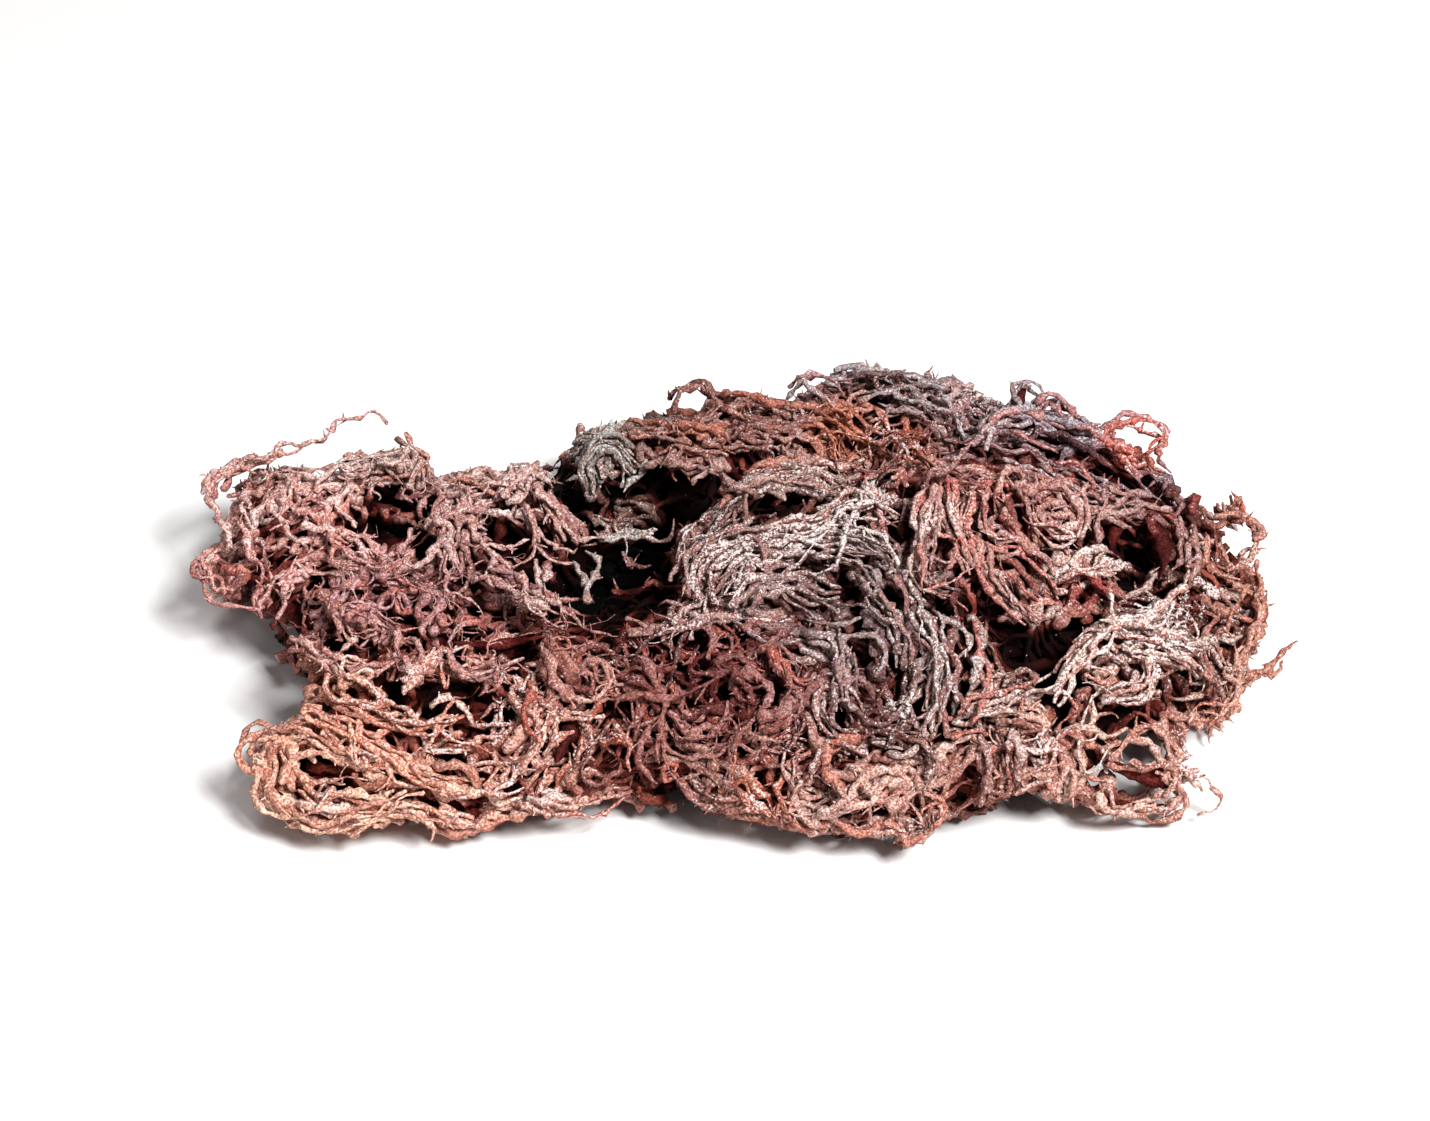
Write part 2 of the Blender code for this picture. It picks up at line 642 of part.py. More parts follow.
def trim(shape, at, beyond):
    """Cuts away what lies beyond a plane and closes the cut."""
    everything = shape.verts[:] + shape.edges[:] + shape.faces[:]
    bmesh.ops.bisect_plane(shape, geom=everything, plane_co=at, plane_no=beyond, clear_outer=True)
    rim = [edge for edge in shape.edges if edge.is_boundary]
    if rim:
        bmesh.ops.holes_fill(shape, edges=rim)


def fused(core, tubes):
    """Joins the tubes to the core as one body, with no sealed hollows and no loose scraps."""
    group = bpy.data.collections.new(core.name + "_strands")
    bpy.context.scene.collection.children.link(group)
    for tube in tubes:
        group.objects.link(tube)
    union = core.modifiers.new("fuse", "BOOLEAN")
    union.operation = "UNION"
    union.operand_type = "COLLECTION"
    union.collection = group
    union.solver = "MANIFOLD"
    graph = bpy.context.evaluated_depsgraph_get()
    mesh = bpy.data.meshes.new_from_object(core.evaluated_get(graph))
    core.modifiers.remove(union)
    core.data = mesh
    for tube in tubes:
        bpy.data.objects.remove(tube)
    bpy.data.collections.remove(group)
    keep_largest_body(mesh)


def keep_largest_body(mesh):
    """Leaves only the largest body: a smaller one is a sealed hollow or a loose scrap."""
    shape = bmesh.new()
    shape.from_mesh(mesh)
    left = set(shape.faces)
    bodies = []
    while left:
        body, edge_of_body = set(), [left.pop()]
        while edge_of_body:
            face = edge_of_body.pop()
            body.add(face)
            for edge in face.edges:
                for near in edge.link_faces:
                    if near in left:
                        left.remove(near)
                        edge_of_body.append(near)
        bodies.append(body)
    largest = max(bodies, key=len)
    scraps = [face for body in bodies if body is not largest for face in body]
    bmesh.ops.delete(shape, geom=scraps, context="FACES")
    shape.to_mesh(mesh)
    shape.free()


def moss_material(tuft):
    """The matt, dry surface of a tuft, in its colour."""
    material = bpy.data.materials.new(tuft.name)
    material.use_nodes = True
    surface = material.node_tree.nodes["Principled BSDF"]
    surface.inputs["Base Color"].default_value = (*tuft.colour, 1)
    surface.inputs["Roughness"].default_value = 0.7
    surface.inputs["Metallic"].default_value = 0.0
    return material


def main():
    """Clears the scene and models the heap."""
    for obj in list(bpy.data.objects):
        bpy.data.objects.remove(obj)
    profile = strand_profile()
    heap = bpy.data.collections.new("irish_moss")
    bpy.context.scene.collection.children.link(heap)
    strands = grow_heap()
    for index, tuft in enumerate(TUFTS):
        core = core_object(index)
        own = [strand for strand in strands if strand.tuft == index]
        tubes = [
            curve_tube(f"{tuft.name}_{number}", strand.points, strand.radii, profile)
            for number, strand in enumerate(own)
        ]
        fused(core, tubes)
        core.data.materials.clear()
        core.data.materials.append(moss_material(tuft))
        bpy.context.scene.collection.objects.unlink(core)
        heap.objects.link(core)
    bpy.data.objects.remove(profile)


main()
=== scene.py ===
"""Dried irish moss as it looks: the fine, forked, salt-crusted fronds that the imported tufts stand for.

The script grows the same main strands as the part does, by the same rule, and splits each of them into
fine fronds. Then it adds the fronds between and under them, forks, curled tips, spikes, blades and salt.
Lengths are in millimetres in the part's layout until a mesh is made.
"""

from collections import namedtuple
from math import cos, pi, radians, sin, tau
from random import Random

import bmesh
import bpy
import numpy as np
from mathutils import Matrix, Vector, noise


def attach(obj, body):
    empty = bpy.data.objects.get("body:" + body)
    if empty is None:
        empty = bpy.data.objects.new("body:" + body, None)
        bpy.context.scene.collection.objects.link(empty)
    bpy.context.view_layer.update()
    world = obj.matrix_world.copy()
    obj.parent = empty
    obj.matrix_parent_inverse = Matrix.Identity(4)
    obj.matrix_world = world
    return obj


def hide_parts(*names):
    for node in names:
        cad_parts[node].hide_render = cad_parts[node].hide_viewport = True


MM = 0.001

# The view that the heap is laid out in: mm a pixel, the pixel that the eye is aimed at, and the eye's place
PIXEL = 0.27
PICTURE_MIDDLE = (745, 610)
SIGHT_TILT = radians(38)
SIGHT_DISTANCE = 760.0
SIGHT_AIM = np.array([0.0, -14.0, 20.0])
SIGHT_RIGHT = np.array([1.0, 0.0, 0.0])
SIGHT_UP = np.array([0.0, sin(SIGHT_TILT), cos(SIGHT_TILT)])
SIGHT_FORWARD = np.array([0.0, cos(SIGHT_TILT), -sin(SIGHT_TILT)])
EYE = SIGHT_AIM - SIGHT_FORWARD * SIGHT_DISTANCE

# Cores, and the skin that covers them, on which the strands lie
CORE_SHARE = 0.75
SKIN_DEPTH = 5.0
SKIN_BLEND = 6.0

# Strands, and the room that they keep
BUNDLE_RADIUS = 3.5
STEM_RADIUS = 2.5
TWIG_RADIUS = 1.8
TIP_SHARE = 0.4
STEP = 7.5
BOW = 0.6
ROOT_DEPTH = 3.0
GAP = 0.5
OWN_GAP = 0.3
FLOOR_ROOM = 0.35
PROBE_STEP = 2.0
RISES = (0.0, 0.8, 1.7, 2.8, 4.2, 5.5)
LOOP_REACH = 5.5

SEED = 4
STEM_TRIES = 4
TWIG_SPACING = 2
STRANDS_A_TUFT = 12

# The middle of the finished heap in the layout, so that the origin is on the floor under it
HEAP_MIDDLE = np.array([-4.7, -5.8, 0.0])

# One tuft: where its core shows in the picture, the height of the core's middle, the core's half sizes
# (across, deep, high), its turn about Z, the way its strands run in the picture (degrees above the
# picture's right), how much they wander (degrees a step), and how many there are.
Tuft = namedtuple("Tuft", "name seen height half turn run wander stems")

TUFTS = (
    Tuft("left_rose_tuft", (322, 572), 16.5, (33, 36, 24.5), 10, 60, 20, 5),
    Tuft("left_back_tuft", (375, 519), 16, (42, 21, 21), -5, 10, 20, 5),
    Tuft("left_inner_tuft", (490, 572), 16.5, (33, 36, 24.5), 0, -60, 20, 5),
    Tuft("left_front_tuft", (424, 656), 13.5, (45, 26, 20), -4, 20, 24, 5),
    Tuft("orange_corner_bundle", (355, 750), 13.5, (29, 25, 20), -8, -20, 10, 4),
    Tuft("crusted_front_tuft", (490, 743), 14, (32, 26, 21), 10, 40, 18, 5),
    Tuft("front_red_tuft", (640, 695), 17.5, (40, 33, 25.5), 0, 15, 20, 7),
    Tuft("hollow_grey_loops", (622, 514), 17, (23, 20, 24), 0, 80, 16, 4),
    Tuft("hollow_bed_tuft", (612, 592), 8, (35, 38, 11), 0, 30, 20, 4),
    Tuft("grey_swirl_bundle", (785, 585), 28, (32, 30, 30), 8, 25, 10, 5),
    Tuft("tan_ridge_tuft", (765, 494), 27, (42, 26, 28), 0, -10, 16, 5),
    Tuft("purple_crown_tuft", (900, 463), 33, (37, 27, 29), -8, -5, 20, 5),
    Tuft("purple_shoulder_bundle", (1052, 510), 25, (38, 29, 31), -22, -25, 8, 6),
    Tuft("coral_bundle", (970, 565), 32, (33, 32, 30), -20, -60, 14, 5),
    Tuft("dark_fold_tuft", (1110, 586), 20, (32, 32, 28), -15, -70, 16, 5),
    Tuft("red_rim_tuft", (1184, 612), 14, (20, 37, 20.5), 6, 80, 20, 5),
    Tuft("crusted_band_tuft", (1075, 670), 17.5, (50, 28, 25), 14, 25, 14, 6),
    Tuft("ashen_band_tuft", (900, 680), 23, (32, 32, 31), 0, -85, 14, 5),
    Tuft("inner_rose_tuft", (765, 708), 17, (34, 34, 25), 0, 40, 20, 7),
    Tuft("front_lip_tuft", (855, 768), 12, (50, 21, 18), 0, 25, 20, 6),
    Tuft("right_front_tuft", (1045, 740), 13, (40, 23, 19), 6, 15, 20, 5),
    Tuft("back_left_tuft", (665, 500), 11, (38, 25, 16.5), 0, 0, 18, 6),
    Tuft("back_middle_tuft", (820, 474), 12, (38, 23, 18), 0, 0, 18, 6),
    Tuft("back_right_tuft", (1000, 490), 12, (42, 23, 17.5), -14, -10, 18, 6),
)

NAMES = [tuft.name for tuft in TUFTS]

# The strands that stand out in the picture, each traced by a few of its points
GUIDES = {
    "left_rose_tuft": (
        [
            (229, 548), (214, 512), (207, 488), (226, 472), (258, 461),
            (292, 449), (328, 437), (366, 417), (388, 424),
        ],
        [(228, 542), (212, 558), (197, 568), (203, 582), (234, 598), (262, 600)],
        [(300, 505), (350, 540), (380, 570), (432, 583)],
        [(262, 628), (272, 598), (300, 572), (352, 566), (400, 590)],
    ),
    "left_back_tuft": (
        [(322, 500), (345, 470), (388, 460), (425, 468), (424, 490)],
        [(402, 436), (411, 449), (420, 462), (404, 486)],
    ),
    "left_inner_tuft": (
        [(520, 510), (540, 538), (556, 556), (578, 562)],
        [(532, 482), (554, 512), (566, 530), (596, 542), (612, 520)],
        [(482, 568), (512, 586), (540, 602), (560, 612), (580, 624)],
        [(444, 510), (455, 540), (457, 566), (450, 590), (455, 606)],
        [(500, 500), (530, 470), (548, 480)],
    ),
    "left_front_tuft": (
        [(290, 640), (330, 662), (372, 668), (412, 650)],
        [(352, 640), (344, 622), (362, 615), (378, 628), (366, 640)],
        [(455, 652), (462, 668), (482, 672), (520, 655)],
    ),
    "orange_corner_bundle": (
        [(262, 776), (246, 756), (258, 738), (300, 728), (334, 748), (366, 762), (400, 768)],
        [(306, 706), (328, 726), (362, 738), (392, 756), (414, 776), (440, 786), (490, 782)],
        [
            (299, 742), (282, 728), (268, 758), (264, 786), (274, 808),
            (318, 825), (364, 820), (402, 798), (430, 786),
        ],
        [(300, 785), (316, 800), (352, 806), (420, 812), (466, 828)],
        [(332, 676), (333, 698), (362, 706), (408, 722), (444, 722), (460, 712)],
    ),
    "crusted_front_tuft": (
        [(436, 786), (480, 790), (506, 776), (526, 756), (540, 722), (554, 702)],
        [(538, 760), (546, 722), (568, 712), (596, 708), (620, 696)],
        [(520, 800), (560, 806), (606, 802), (634, 790)],
    ),
    "front_red_tuft": (
        [(546, 714), (554, 690), (571, 677), (586, 688), (592, 704)],
        [
            (610, 700), (634, 688), (654, 690), (682, 692), (670, 710),
            (672, 732), (692, 746), (730, 744), (754, 746),
        ],
        [(672, 714), (692, 725), (717, 714), (724, 700)],
        [(750, 660), (770, 645), (800, 668)],
        [(694, 780), (700, 800), (712, 802)],
    ),
    "hollow_grey_loops": (
        [(589, 502), (586, 468), (598, 446), (616, 448), (630, 462), (638, 474)],
        [(604, 482), (602, 459), (615, 457), (624, 475)],
        [(600, 540), (636, 536), (658, 533)],
        [(580, 600), (590, 570), (578, 552)],
    ),
    "grey_swirl_bundle": (
        [(690, 604), (684, 572), (698, 551), (736, 538), (775, 531), (813, 525), (850, 502), (872, 494)],
        [(706, 606), (700, 576), (722, 556), (760, 545), (800, 538), (850, 536), (893, 560), (890, 582)],
        [(730, 588), (746, 566), (780, 552), (826, 550), (866, 566)],
        [(857, 490), (878, 502), (900, 518)],
        [(742, 610), (760, 584), (800, 590), (842, 598)],
    ),
    "tan_ridge_tuft": (
        [
            (668, 418), (677, 392), (700, 384), (720, 396), (765, 403),
            (834, 415), (872, 430), (904, 444), (930, 466),
        ],
        [(724, 416), (752, 433), (786, 430), (814, 437), (834, 454)],
        [(708, 465), (728, 482), (753, 491), (780, 482), (814, 474)],
        [(600, 448), (636, 430), (680, 432), (722, 440)],
        [(648, 470), (690, 460), (730, 462)],
    ),
    "purple_crown_tuft": (
        [(824, 382), (852, 375), (890, 376), (930, 386), (960, 396)],
        [(786, 396), (797, 384), (812, 377), (830, 392), (842, 418)],
        [(1014, 418), (1012, 394), (1024, 382), (1037, 390), (1032, 408)],
        [(860, 408), (890, 398), (926, 410), (950, 425)],
    ),
    "purple_shoulder_bundle": (
        [(976, 450), (989, 424), (1015, 416), (1054, 424), (1092, 436), (1124, 454), (1144, 472)],
        [(987, 446), (1027, 449), (1056, 470), (1092, 485), (1120, 494)],
        [(1038, 412), (1050, 401), (1066, 408), (1079, 421), (1100, 430)],
        [
            (1100, 438), (1114, 425), (1136, 421), (1156, 427),
            (1165, 441), (1152, 450), (1152, 466), (1176, 475),
        ],
        [(1000, 462), (1040, 480), (1080, 500), (1112, 508)],
    ),
    "coral_bundle": (
        [(937, 486), (924, 512), (922, 540), (915, 562), (926, 586), (948, 594)],
        [(948, 482), (951, 514), (960, 546), (978, 570)],
        [(977, 492), (978, 524), (994, 545), (1020, 551)],
        [(1020, 494), (1053, 485), (1078, 506), (1078, 526), (1058, 537), (1038, 524), (1031, 504)],
        [(1002, 508), (1022, 538), (1044, 562), (1060, 586)],
        [(974, 540), (987, 577), (1010, 600), (1034, 626)],
    ),
    "dark_fold_tuft": (
        [(1086, 540), (1096, 518), (1118, 508), (1144, 503), (1172, 510)],
        [(1084, 560), (1100, 590), (1120, 606)],
        [(1180, 520), (1188, 560), (1180, 590)],
    ),
    "red_rim_tuft": (
        [
            (1196, 514), (1214, 520), (1234, 512), (1254, 524),
            (1258, 548), (1244, 566), (1224, 576), (1213, 536),
        ],
        [(1242, 499), (1236, 516), (1226, 500)],
        [
            (1253, 562), (1261, 600), (1256, 634), (1243, 656),
            (1235, 682), (1234, 700), (1215, 718), (1200, 716),
        ],
        [(1236, 690), (1254, 677), (1272, 669), (1286, 659), (1295, 647)],
        [(1222, 610), (1212, 640), (1224, 668)],
    ),
    "crusted_band_tuft": (
        [(1046, 702), (1065, 676), (1089, 646), (1111, 628), (1147, 618), (1174, 597), (1188, 586)],
        [(940, 716), (962, 720), (981, 706), (1010, 698), (1037, 683), (1060, 672)],
        [(1110, 640), (1150, 650), (1190, 662), (1200, 680)],
        [(1100, 700), (1140, 690), (1150, 660)],
    ),
    "ashen_band_tuft": (
        [(902, 572), (913, 608), (932, 638), (942, 668), (936, 704), (931, 738)],
        [(871, 594), (894, 617), (903, 641), (900, 668)],
        [(867, 744), (846, 740), (829, 723), (826, 703), (843, 696), (860, 710), (865, 730)],
        [(812, 633), (834, 641), (845, 660), (844, 686)],
        [(872, 744), (900, 748), (920, 736)],
    ),
    "front_lip_tuft": (
        [(791, 752), (793, 780), (793, 806), (812, 827), (834, 806), (864, 790), (884, 775), (924, 761)],
        [(817, 828), (859, 832), (894, 827), (910, 840), (929, 832), (947, 808), (932, 802), (908, 814)],
        [(782, 822), (778, 808), (790, 800)],
        [(950, 744), (976, 728), (985, 752)],
    ),
    "right_front_tuft": (
        [(990, 716), (1020, 718), (1042, 728), (1020, 738)],
        [
            (1112, 770), (1120, 749), (1147, 732), (1165, 745),
            (1175, 767), (1211, 788), (1213, 804), (1189, 821),
        ],
        [
            (1106, 768), (1138, 773), (1159, 771), (1182, 796),
            (1168, 813), (1138, 809), (1110, 808), (1098, 788),
        ],
        [(980, 800), (1010, 780), (1050, 776)],
    ),
}


# The heap's smooth skin

def sight(picture_point):
    """The direction in which the eye sees a point of the picture."""
    across = (picture_point[0] - PICTURE_MIDDLE[0]) * PIXEL
    upward = (PICTURE_MIDDLE[1] - picture_point[1]) * PIXEL
    direction = SIGHT_AIM + SIGHT_RIGHT * across + SIGHT_UP * upward - EYE
    return direction / np.linalg.norm(direction)


def seen_at_height(picture_point, height):
    """The point at this height that shows at a point of the picture."""
    direction = sight(picture_point)
    return EYE + direction * ((height - EYE[2]) / direction[2])


def turn_of(degrees):
    """World to core axes for a core turned about Z."""
    c, s = cos(radians(degrees)), sin(radians(degrees))
    return np.array([[c, s, 0], [-s, c, 0], [0, 0, 1]])


CENTRES = np.array([seen_at_height(tuft.seen, tuft.height) for tuft in TUFTS])
HALVES = np.array([tuft.half for tuft in TUFTS], float) * CORE_SHARE
TURNS = np.array([turn_of(tuft.turn) for tuft in TUFTS])


def core_distances(points):
    """About how far each point stands from each tuft's core, as (points, tufts)."""
    local = np.einsum("tij,ntj->nti", TURNS, points[:, None, :] - CENTRES)
    scaled = np.linalg.norm(local / HALVES, axis=2)
    slope = np.linalg.norm(local / HALVES**2, axis=2)
    return scaled * (scaled - 1) / np.maximum(slope, 1e-9)


def skin(points):
    """How far each point stands from the heap's smooth skin, which covers all the cores."""
    distances = core_distances(points) - SKIN_DEPTH
    nearest = distances.min(axis=1)
    return nearest - SKIN_BLEND * np.log(np.exp((nearest[:, None] - distances) / SKIN_BLEND).sum(axis=1))


def outward(points):
    """The skin's outward direction at each point."""
    reach = 0.5
    offsets = np.eye(3) * reach
    slope = np.stack([skin(points + offset) - skin(points - offset) for offset in offsets], axis=1)
    return slope / np.maximum(np.linalg.norm(slope, axis=1, keepdims=True), 1e-9)


# Strands

Strand = namedtuple("Strand", "tuft points radii")


def spaced(points, step):
    """A smooth curve through the points, with a point about every step."""
    points = np.asarray(points, float)
    ends = np.vstack([2 * points[0] - points[1], points, 2 * points[-1] - points[-2]])
    curve = []
    for a, b, c, d in zip(ends, ends[1:], ends[2:], ends[3:]):
        for t in np.linspace(0, 1, 12, endpoint=False):
            square = (2 * a - 5 * b + 4 * c - d) * t**2
            cube = (3 * b - a - 3 * c + d) * t**3
            curve.append((2 * b + (c - a) * t + square + cube) / 2)
    curve = np.array([*curve, points[-1]])
    along = np.concatenate([[0], np.cumsum(np.linalg.norm(np.diff(curve, axis=0), axis=1))])
    count = max(2, round(along[-1] / step))
    stations = np.linspace(0, along[-1], count + 1)
    return np.stack([np.interp(stations, along, curve[:, axis]) for axis in range(curve.shape[1])], axis=1)


def thinned(points):
    """The points without those that a straight stretch passes within BOW of."""
    if len(points) < 3:
        return points
    start, span = points[0], points[-1] - points[0]
    share = np.clip((points - start) @ span / max(span @ span, 1e-9), 0, 1)
    off = np.linalg.norm(points - start - share[:, None] * span, axis=1)
    farthest = int(np.argmax(off))
    if off[farthest] <= BOW:
        return points[[0, -1]]
    return np.vstack([thinned(points[: farthest + 1]), thinned(points[farthest:])[1:]])


def traced(picture_points, lift):
    """A strand that shows along these points of the picture and lies on the heap, or passes close by it."""
    seen = spaced(picture_points, 0.5 * STEP / PIXEL)
    directions = np.array([sight(point) for point in seen])
    depths = np.arange(SIGHT_DISTANCE - 150, SIGHT_DISTANCE + 190, 1.5)
    lowest = STEM_RADIUS + FLOOR_ROOM
    found = []
    for direction in directions:
        line = EYE + depths[:, None] * direction
        above = line[:, 2] > lowest
        rise = np.where(above, skin(line), np.inf)
        hits = np.flatnonzero(rise < lift)
        found.append(depths[hits[0] if len(hits) else np.argmin(rise)])
    padded = np.pad(found, 2, mode="edge")
    count = len(found)
    nearest = np.min([padded[shift : shift + count] for shift in range(5)], axis=0)
    padded = np.pad(nearest, 2, mode="edge")
    smooth = np.mean([padded[shift : shift + count] for shift in range(5)], axis=0)
    return EYE + smooth[:, None] * directions


def crept(rng, start, heading, length, lift, wander, curl=0.0):
    """A strand that creeps over the heap's skin from start, wandering and curling as it goes."""
    points = [np.array(start, float)]
    heading = np.array(heading, float)
    swerve = 0.0
    for _ in range(max(2, round(length / STEP))):
        here = points[-1][None]
        normal = outward(here)[0]
        swerve = 0.6 * swerve + radians(rng.gauss(0, wander))
        heading = turned(heading - normal * heading.dot(normal), normal, swerve + curl)
        climb = np.clip((lift - skin(here)[0]) / STEP, -0.7, 0.7)
        heading = unit(unit(heading) + normal * climb)
        ahead = points[-1] + heading * STEP
        ahead[2] = max(ahead[2], STEM_RADIUS + FLOOR_ROOM)
        points.append(ahead)
    return np.array(points)


def unit(vector):
    """The vector at length 1."""
    return vector / max(np.linalg.norm(vector), 1e-9)


def turned(vector, axis, angle):
    """The vector turned about a unit axis."""
    return (
        vector * cos(angle)
        + np.cross(axis, vector) * sin(angle)
        + axis * axis.dot(vector) * (1 - cos(angle))
    )


class Pile:
    """The strands laid so far, as straight stretches that later strands keep clear of."""

    def __init__(self):
        self.strands = []
        self.starts = np.empty((0, 3))
        self.ends = np.empty((0, 3))
        self.radii = np.empty(0)
        self.owners = np.empty(0, int)

    def reach(self, point):
        """How far a point is from the nearest end of a laid stretch."""
        return min(
            (np.linalg.norm(ends - point, axis=1).min() for ends in (self.starts, self.ends) if len(ends)),
            default=np.inf,
        )

    def fits(self, start, end, radius, tuft, own_gap):
        """Whether a stretch keeps clear of other tufts, and of its own unless own_gap is None."""
        count = 1 + int(np.linalg.norm(end - start) / PROBE_STEP)
        probes = start + (end - start) * (np.arange(1, count + 1) / count)[:, None]
        own_gap = -np.inf if own_gap is None else own_gap
        cores = core_distances(probes).min(axis=0)
        gaps = np.where(np.arange(len(TUFTS)) == tuft, own_gap, GAP)
        if (cores - radius < gaps).any():
            return False
        if not len(self.starts):
            return True
        spans = self.ends - self.starts
        to_probe = probes[:, None, :] - self.starts
        share = np.clip((to_probe * spans).sum(axis=2) / (spans**2).sum(axis=1), 0, 1)
        apart = np.linalg.norm(to_probe - share[..., None] * spans, axis=2).min(axis=0)
        gaps = np.where(self.owners == tuft, own_gap, GAP)
        return not (apart - self.radii - radius < gaps).any()

    def way_clear(self, tuft, points, radii, own_gap):
        """The points, raised where they would touch another strand, up to where there is no way on."""
        clear = [points[0]]
        for point, normal, radius in zip(points[1:], outward(points[1:]), radii[1:]):
            up = unit(normal + [0, 0, 0.4])
            gap = None if len(clear) == 1 else own_gap
            for rise in RISES:
                raised = point + up * rise
                raised[2] = max(raised[2], radius + FLOOR_ROOM)
                if self.fits(clear[-1], raised, radius, tuft, gap):
                    clear.append(raised)
                    break
            else:
                break
        return np.array(clear)

    def lay(self, tuft, points, radii):
        """Adds a strand, if it has at least a root and a stretch beyond it."""
        if len(points) < 3:
            return
        radii = radii[: len(points)].copy()
        radii[-1] = min(radii[-1], radii[0] * TIP_SHARE)
        self.strands.append(Strand(tuft, points, radii))
        self.starts = np.vstack([self.starts, points[:-1]])
        self.ends = np.vstack([self.ends, points[1:]])
        self.radii = np.append(self.radii, np.maximum(radii[:-1], radii[1:]))
        self.owners = np.append(self.owners, np.full(len(points) - 1, tuft))


def knobbly(rng, count, radius):
    """Radii along a strand, which swells and narrows on its way and thins toward its tip."""
    return radius * np.linspace(1, 0.7, count) * [rng.uniform(0.85, 1.12) for _ in range(count)]


def bare_point(rng, pile, tuft):
    """The barest of some random points on the open side of a tuft, where its skin lies."""
    barest, bareness = None, 0.0
    for _ in range(40):
        ball = unit(np.array([rng.gauss(0, 1), rng.gauss(0, 1), rng.gauss(0.1, 0.6)]))
        point = CENTRES[tuft] + TURNS[tuft].T @ (ball * (HALVES[tuft] + SKIN_DEPTH + 1))
        others = np.delete(core_distances(point[None])[0], tuft)
        if others.min() > STEM_RADIUS + GAP and point[2] > STEM_RADIUS + FLOOR_ROOM:
            apart = pile.reach(point)
            if apart > bareness:
                barest, bareness = point, apart
    return barest


def picture_direction(degrees, point):
    """A direction along the skin by a point that runs at this angle in the picture."""
    normal = outward(point[None])[0]
    across, upward = cos(radians(degrees)), sin(radians(degrees))
    flat = np.array([across, upward * 1.2, 0.0])
    return unit(flat - normal * flat.dot(normal))


def rooted(tuft, points):
    """The points, thinned out, from a root that is sunk in the tuft's core below their nearer end."""
    if core_distances(points[-1:])[0, tuft] < core_distances(points[:1])[0, tuft]:
        points = points[::-1]
    to_core = unit(CENTRES[tuft] - points[0])
    reach = core_distances(points[:1])[0, tuft]
    root = points[0] + to_core * (max(reach, 0) + ROOT_DEPTH)
    return np.vstack([root, thinned(points)])


def lay_traces(rng, pile, traces):
    """The strands that stand out in the picture. They may lie against others of their tuft."""
    for tuft, points in traces:
        points = rooted(tuft, points)
        radii = knobbly(rng, len(points), STEM_RADIUS)
        pile.lay(tuft, pile.way_clear(tuft, points, radii, None), radii)


def lay_bundled_stems(rng, pile):
    """Each tuft's own stems, which lie low along the way that it runs, where it is barest and they fit."""
    for layer in range(max(tuft.stems for tuft in TUFTS)):
        for index, tuft in enumerate(TUFTS):
            if layer >= tuft.stems:
                continue
            longest, its_radii = [], None
            for _ in range(STEM_TRIES):
                start = bare_point(rng, pile, index)
                if start is None:
                    continue
                heading = picture_direction(tuft.run + rng.gauss(0, 16) + rng.choice((0, 180)), start)
                points = crept(rng, start, heading, rng.uniform(45, 70), rng.uniform(-1, 0), tuft.wander)
                points = rooted(index, points)
                radii = knobbly(rng, len(points), BUNDLE_RADIUS)
                points = pile.way_clear(index, points, radii, OWN_GAP)
                if len(points) > len(longest):
                    longest, its_radii = points, radii
            pile.lay(index, longest, its_radii)


def lay_twigs(rng, pile):
    """Side branches, which fork off on alternate sides and curl over at their tips."""
    counts = [sum(strand.tuft == index for strand in pile.strands) for index in range(len(TUFTS))]
    for strand in list(pile.strands):
        side = rng.choice((-1, 1))
        for index in range(2, len(strand.points) - 1, TWIG_SPACING):
            if counts[strand.tuft] >= STRANDS_A_TUFT:
                break
            at = strand.points[index]
            normal = outward(at[None])[0]
            along = unit(strand.points[index + 1] - at)
            heading = turned(along, normal, side * radians(rng.uniform(45, 75)))
            heading = unit(heading + normal * rng.uniform(-0.1, 0.5))
            lift = skin(at[None])[0] + rng.uniform(0, 3)
            curl = side * radians(rng.uniform(-15, 40))
            points = thinned(crept(rng, at, heading, rng.uniform(14, 28), lift, 8, curl))
            radii = knobbly(rng, len(points), min(TWIG_RADIUS, strand.radii[index] * 0.9))
            points = pile.way_clear(strand.tuft, points, radii, OWN_GAP)
            pile.lay(strand.tuft, points, radii)
            counts[strand.tuft] += len(points) > 2
            side = -side


def traced_all(guides, lift):
    """The strands that the guides trace, each with the number of its tuft."""
    return [(NAMES.index(name), traced(way, lift)) for name, ways in guides.items() for way in ways]


def grow_heap(traces):
    """Every strand: the traced loops at the rim, the bundled stems, the other traced ones, side branches."""
    rng = Random(SEED)
    pile = Pile()
    loops = [trace for trace in traces if skin(trace[1]).max() > LOOP_REACH]
    lay_traces(rng, pile, loops)
    lay_bundled_stems(rng, pile)
    lay_traces(rng, pile, [trace for trace in traces if skin(trace[1]).max() <= LOOP_REACH])
    lay_twigs(rng, pile)
    return pile.strands


# The look of each tuft: the radius of its fine fronds, how strictly they follow the way that it runs, how
# much they wander, how readily they fork, the curl of the tips, how far the tips rise, the share of salt,
# and its colours in the light, in the body, of the painted shade deep between the fronds, and on the odd
# frond (sRGB, 0 to 255).
# All these colours but hollow_bed_tuft's come from scratch programs: the light and body ones were fitted to
# mean tones of the photo, the deep and odd ones mixed from typed ones. Some thicknesses were scaled by a
# computed factor too.
Look = namedtuple("Look", "thick comb wander forks curl rise salt light body deep odd")

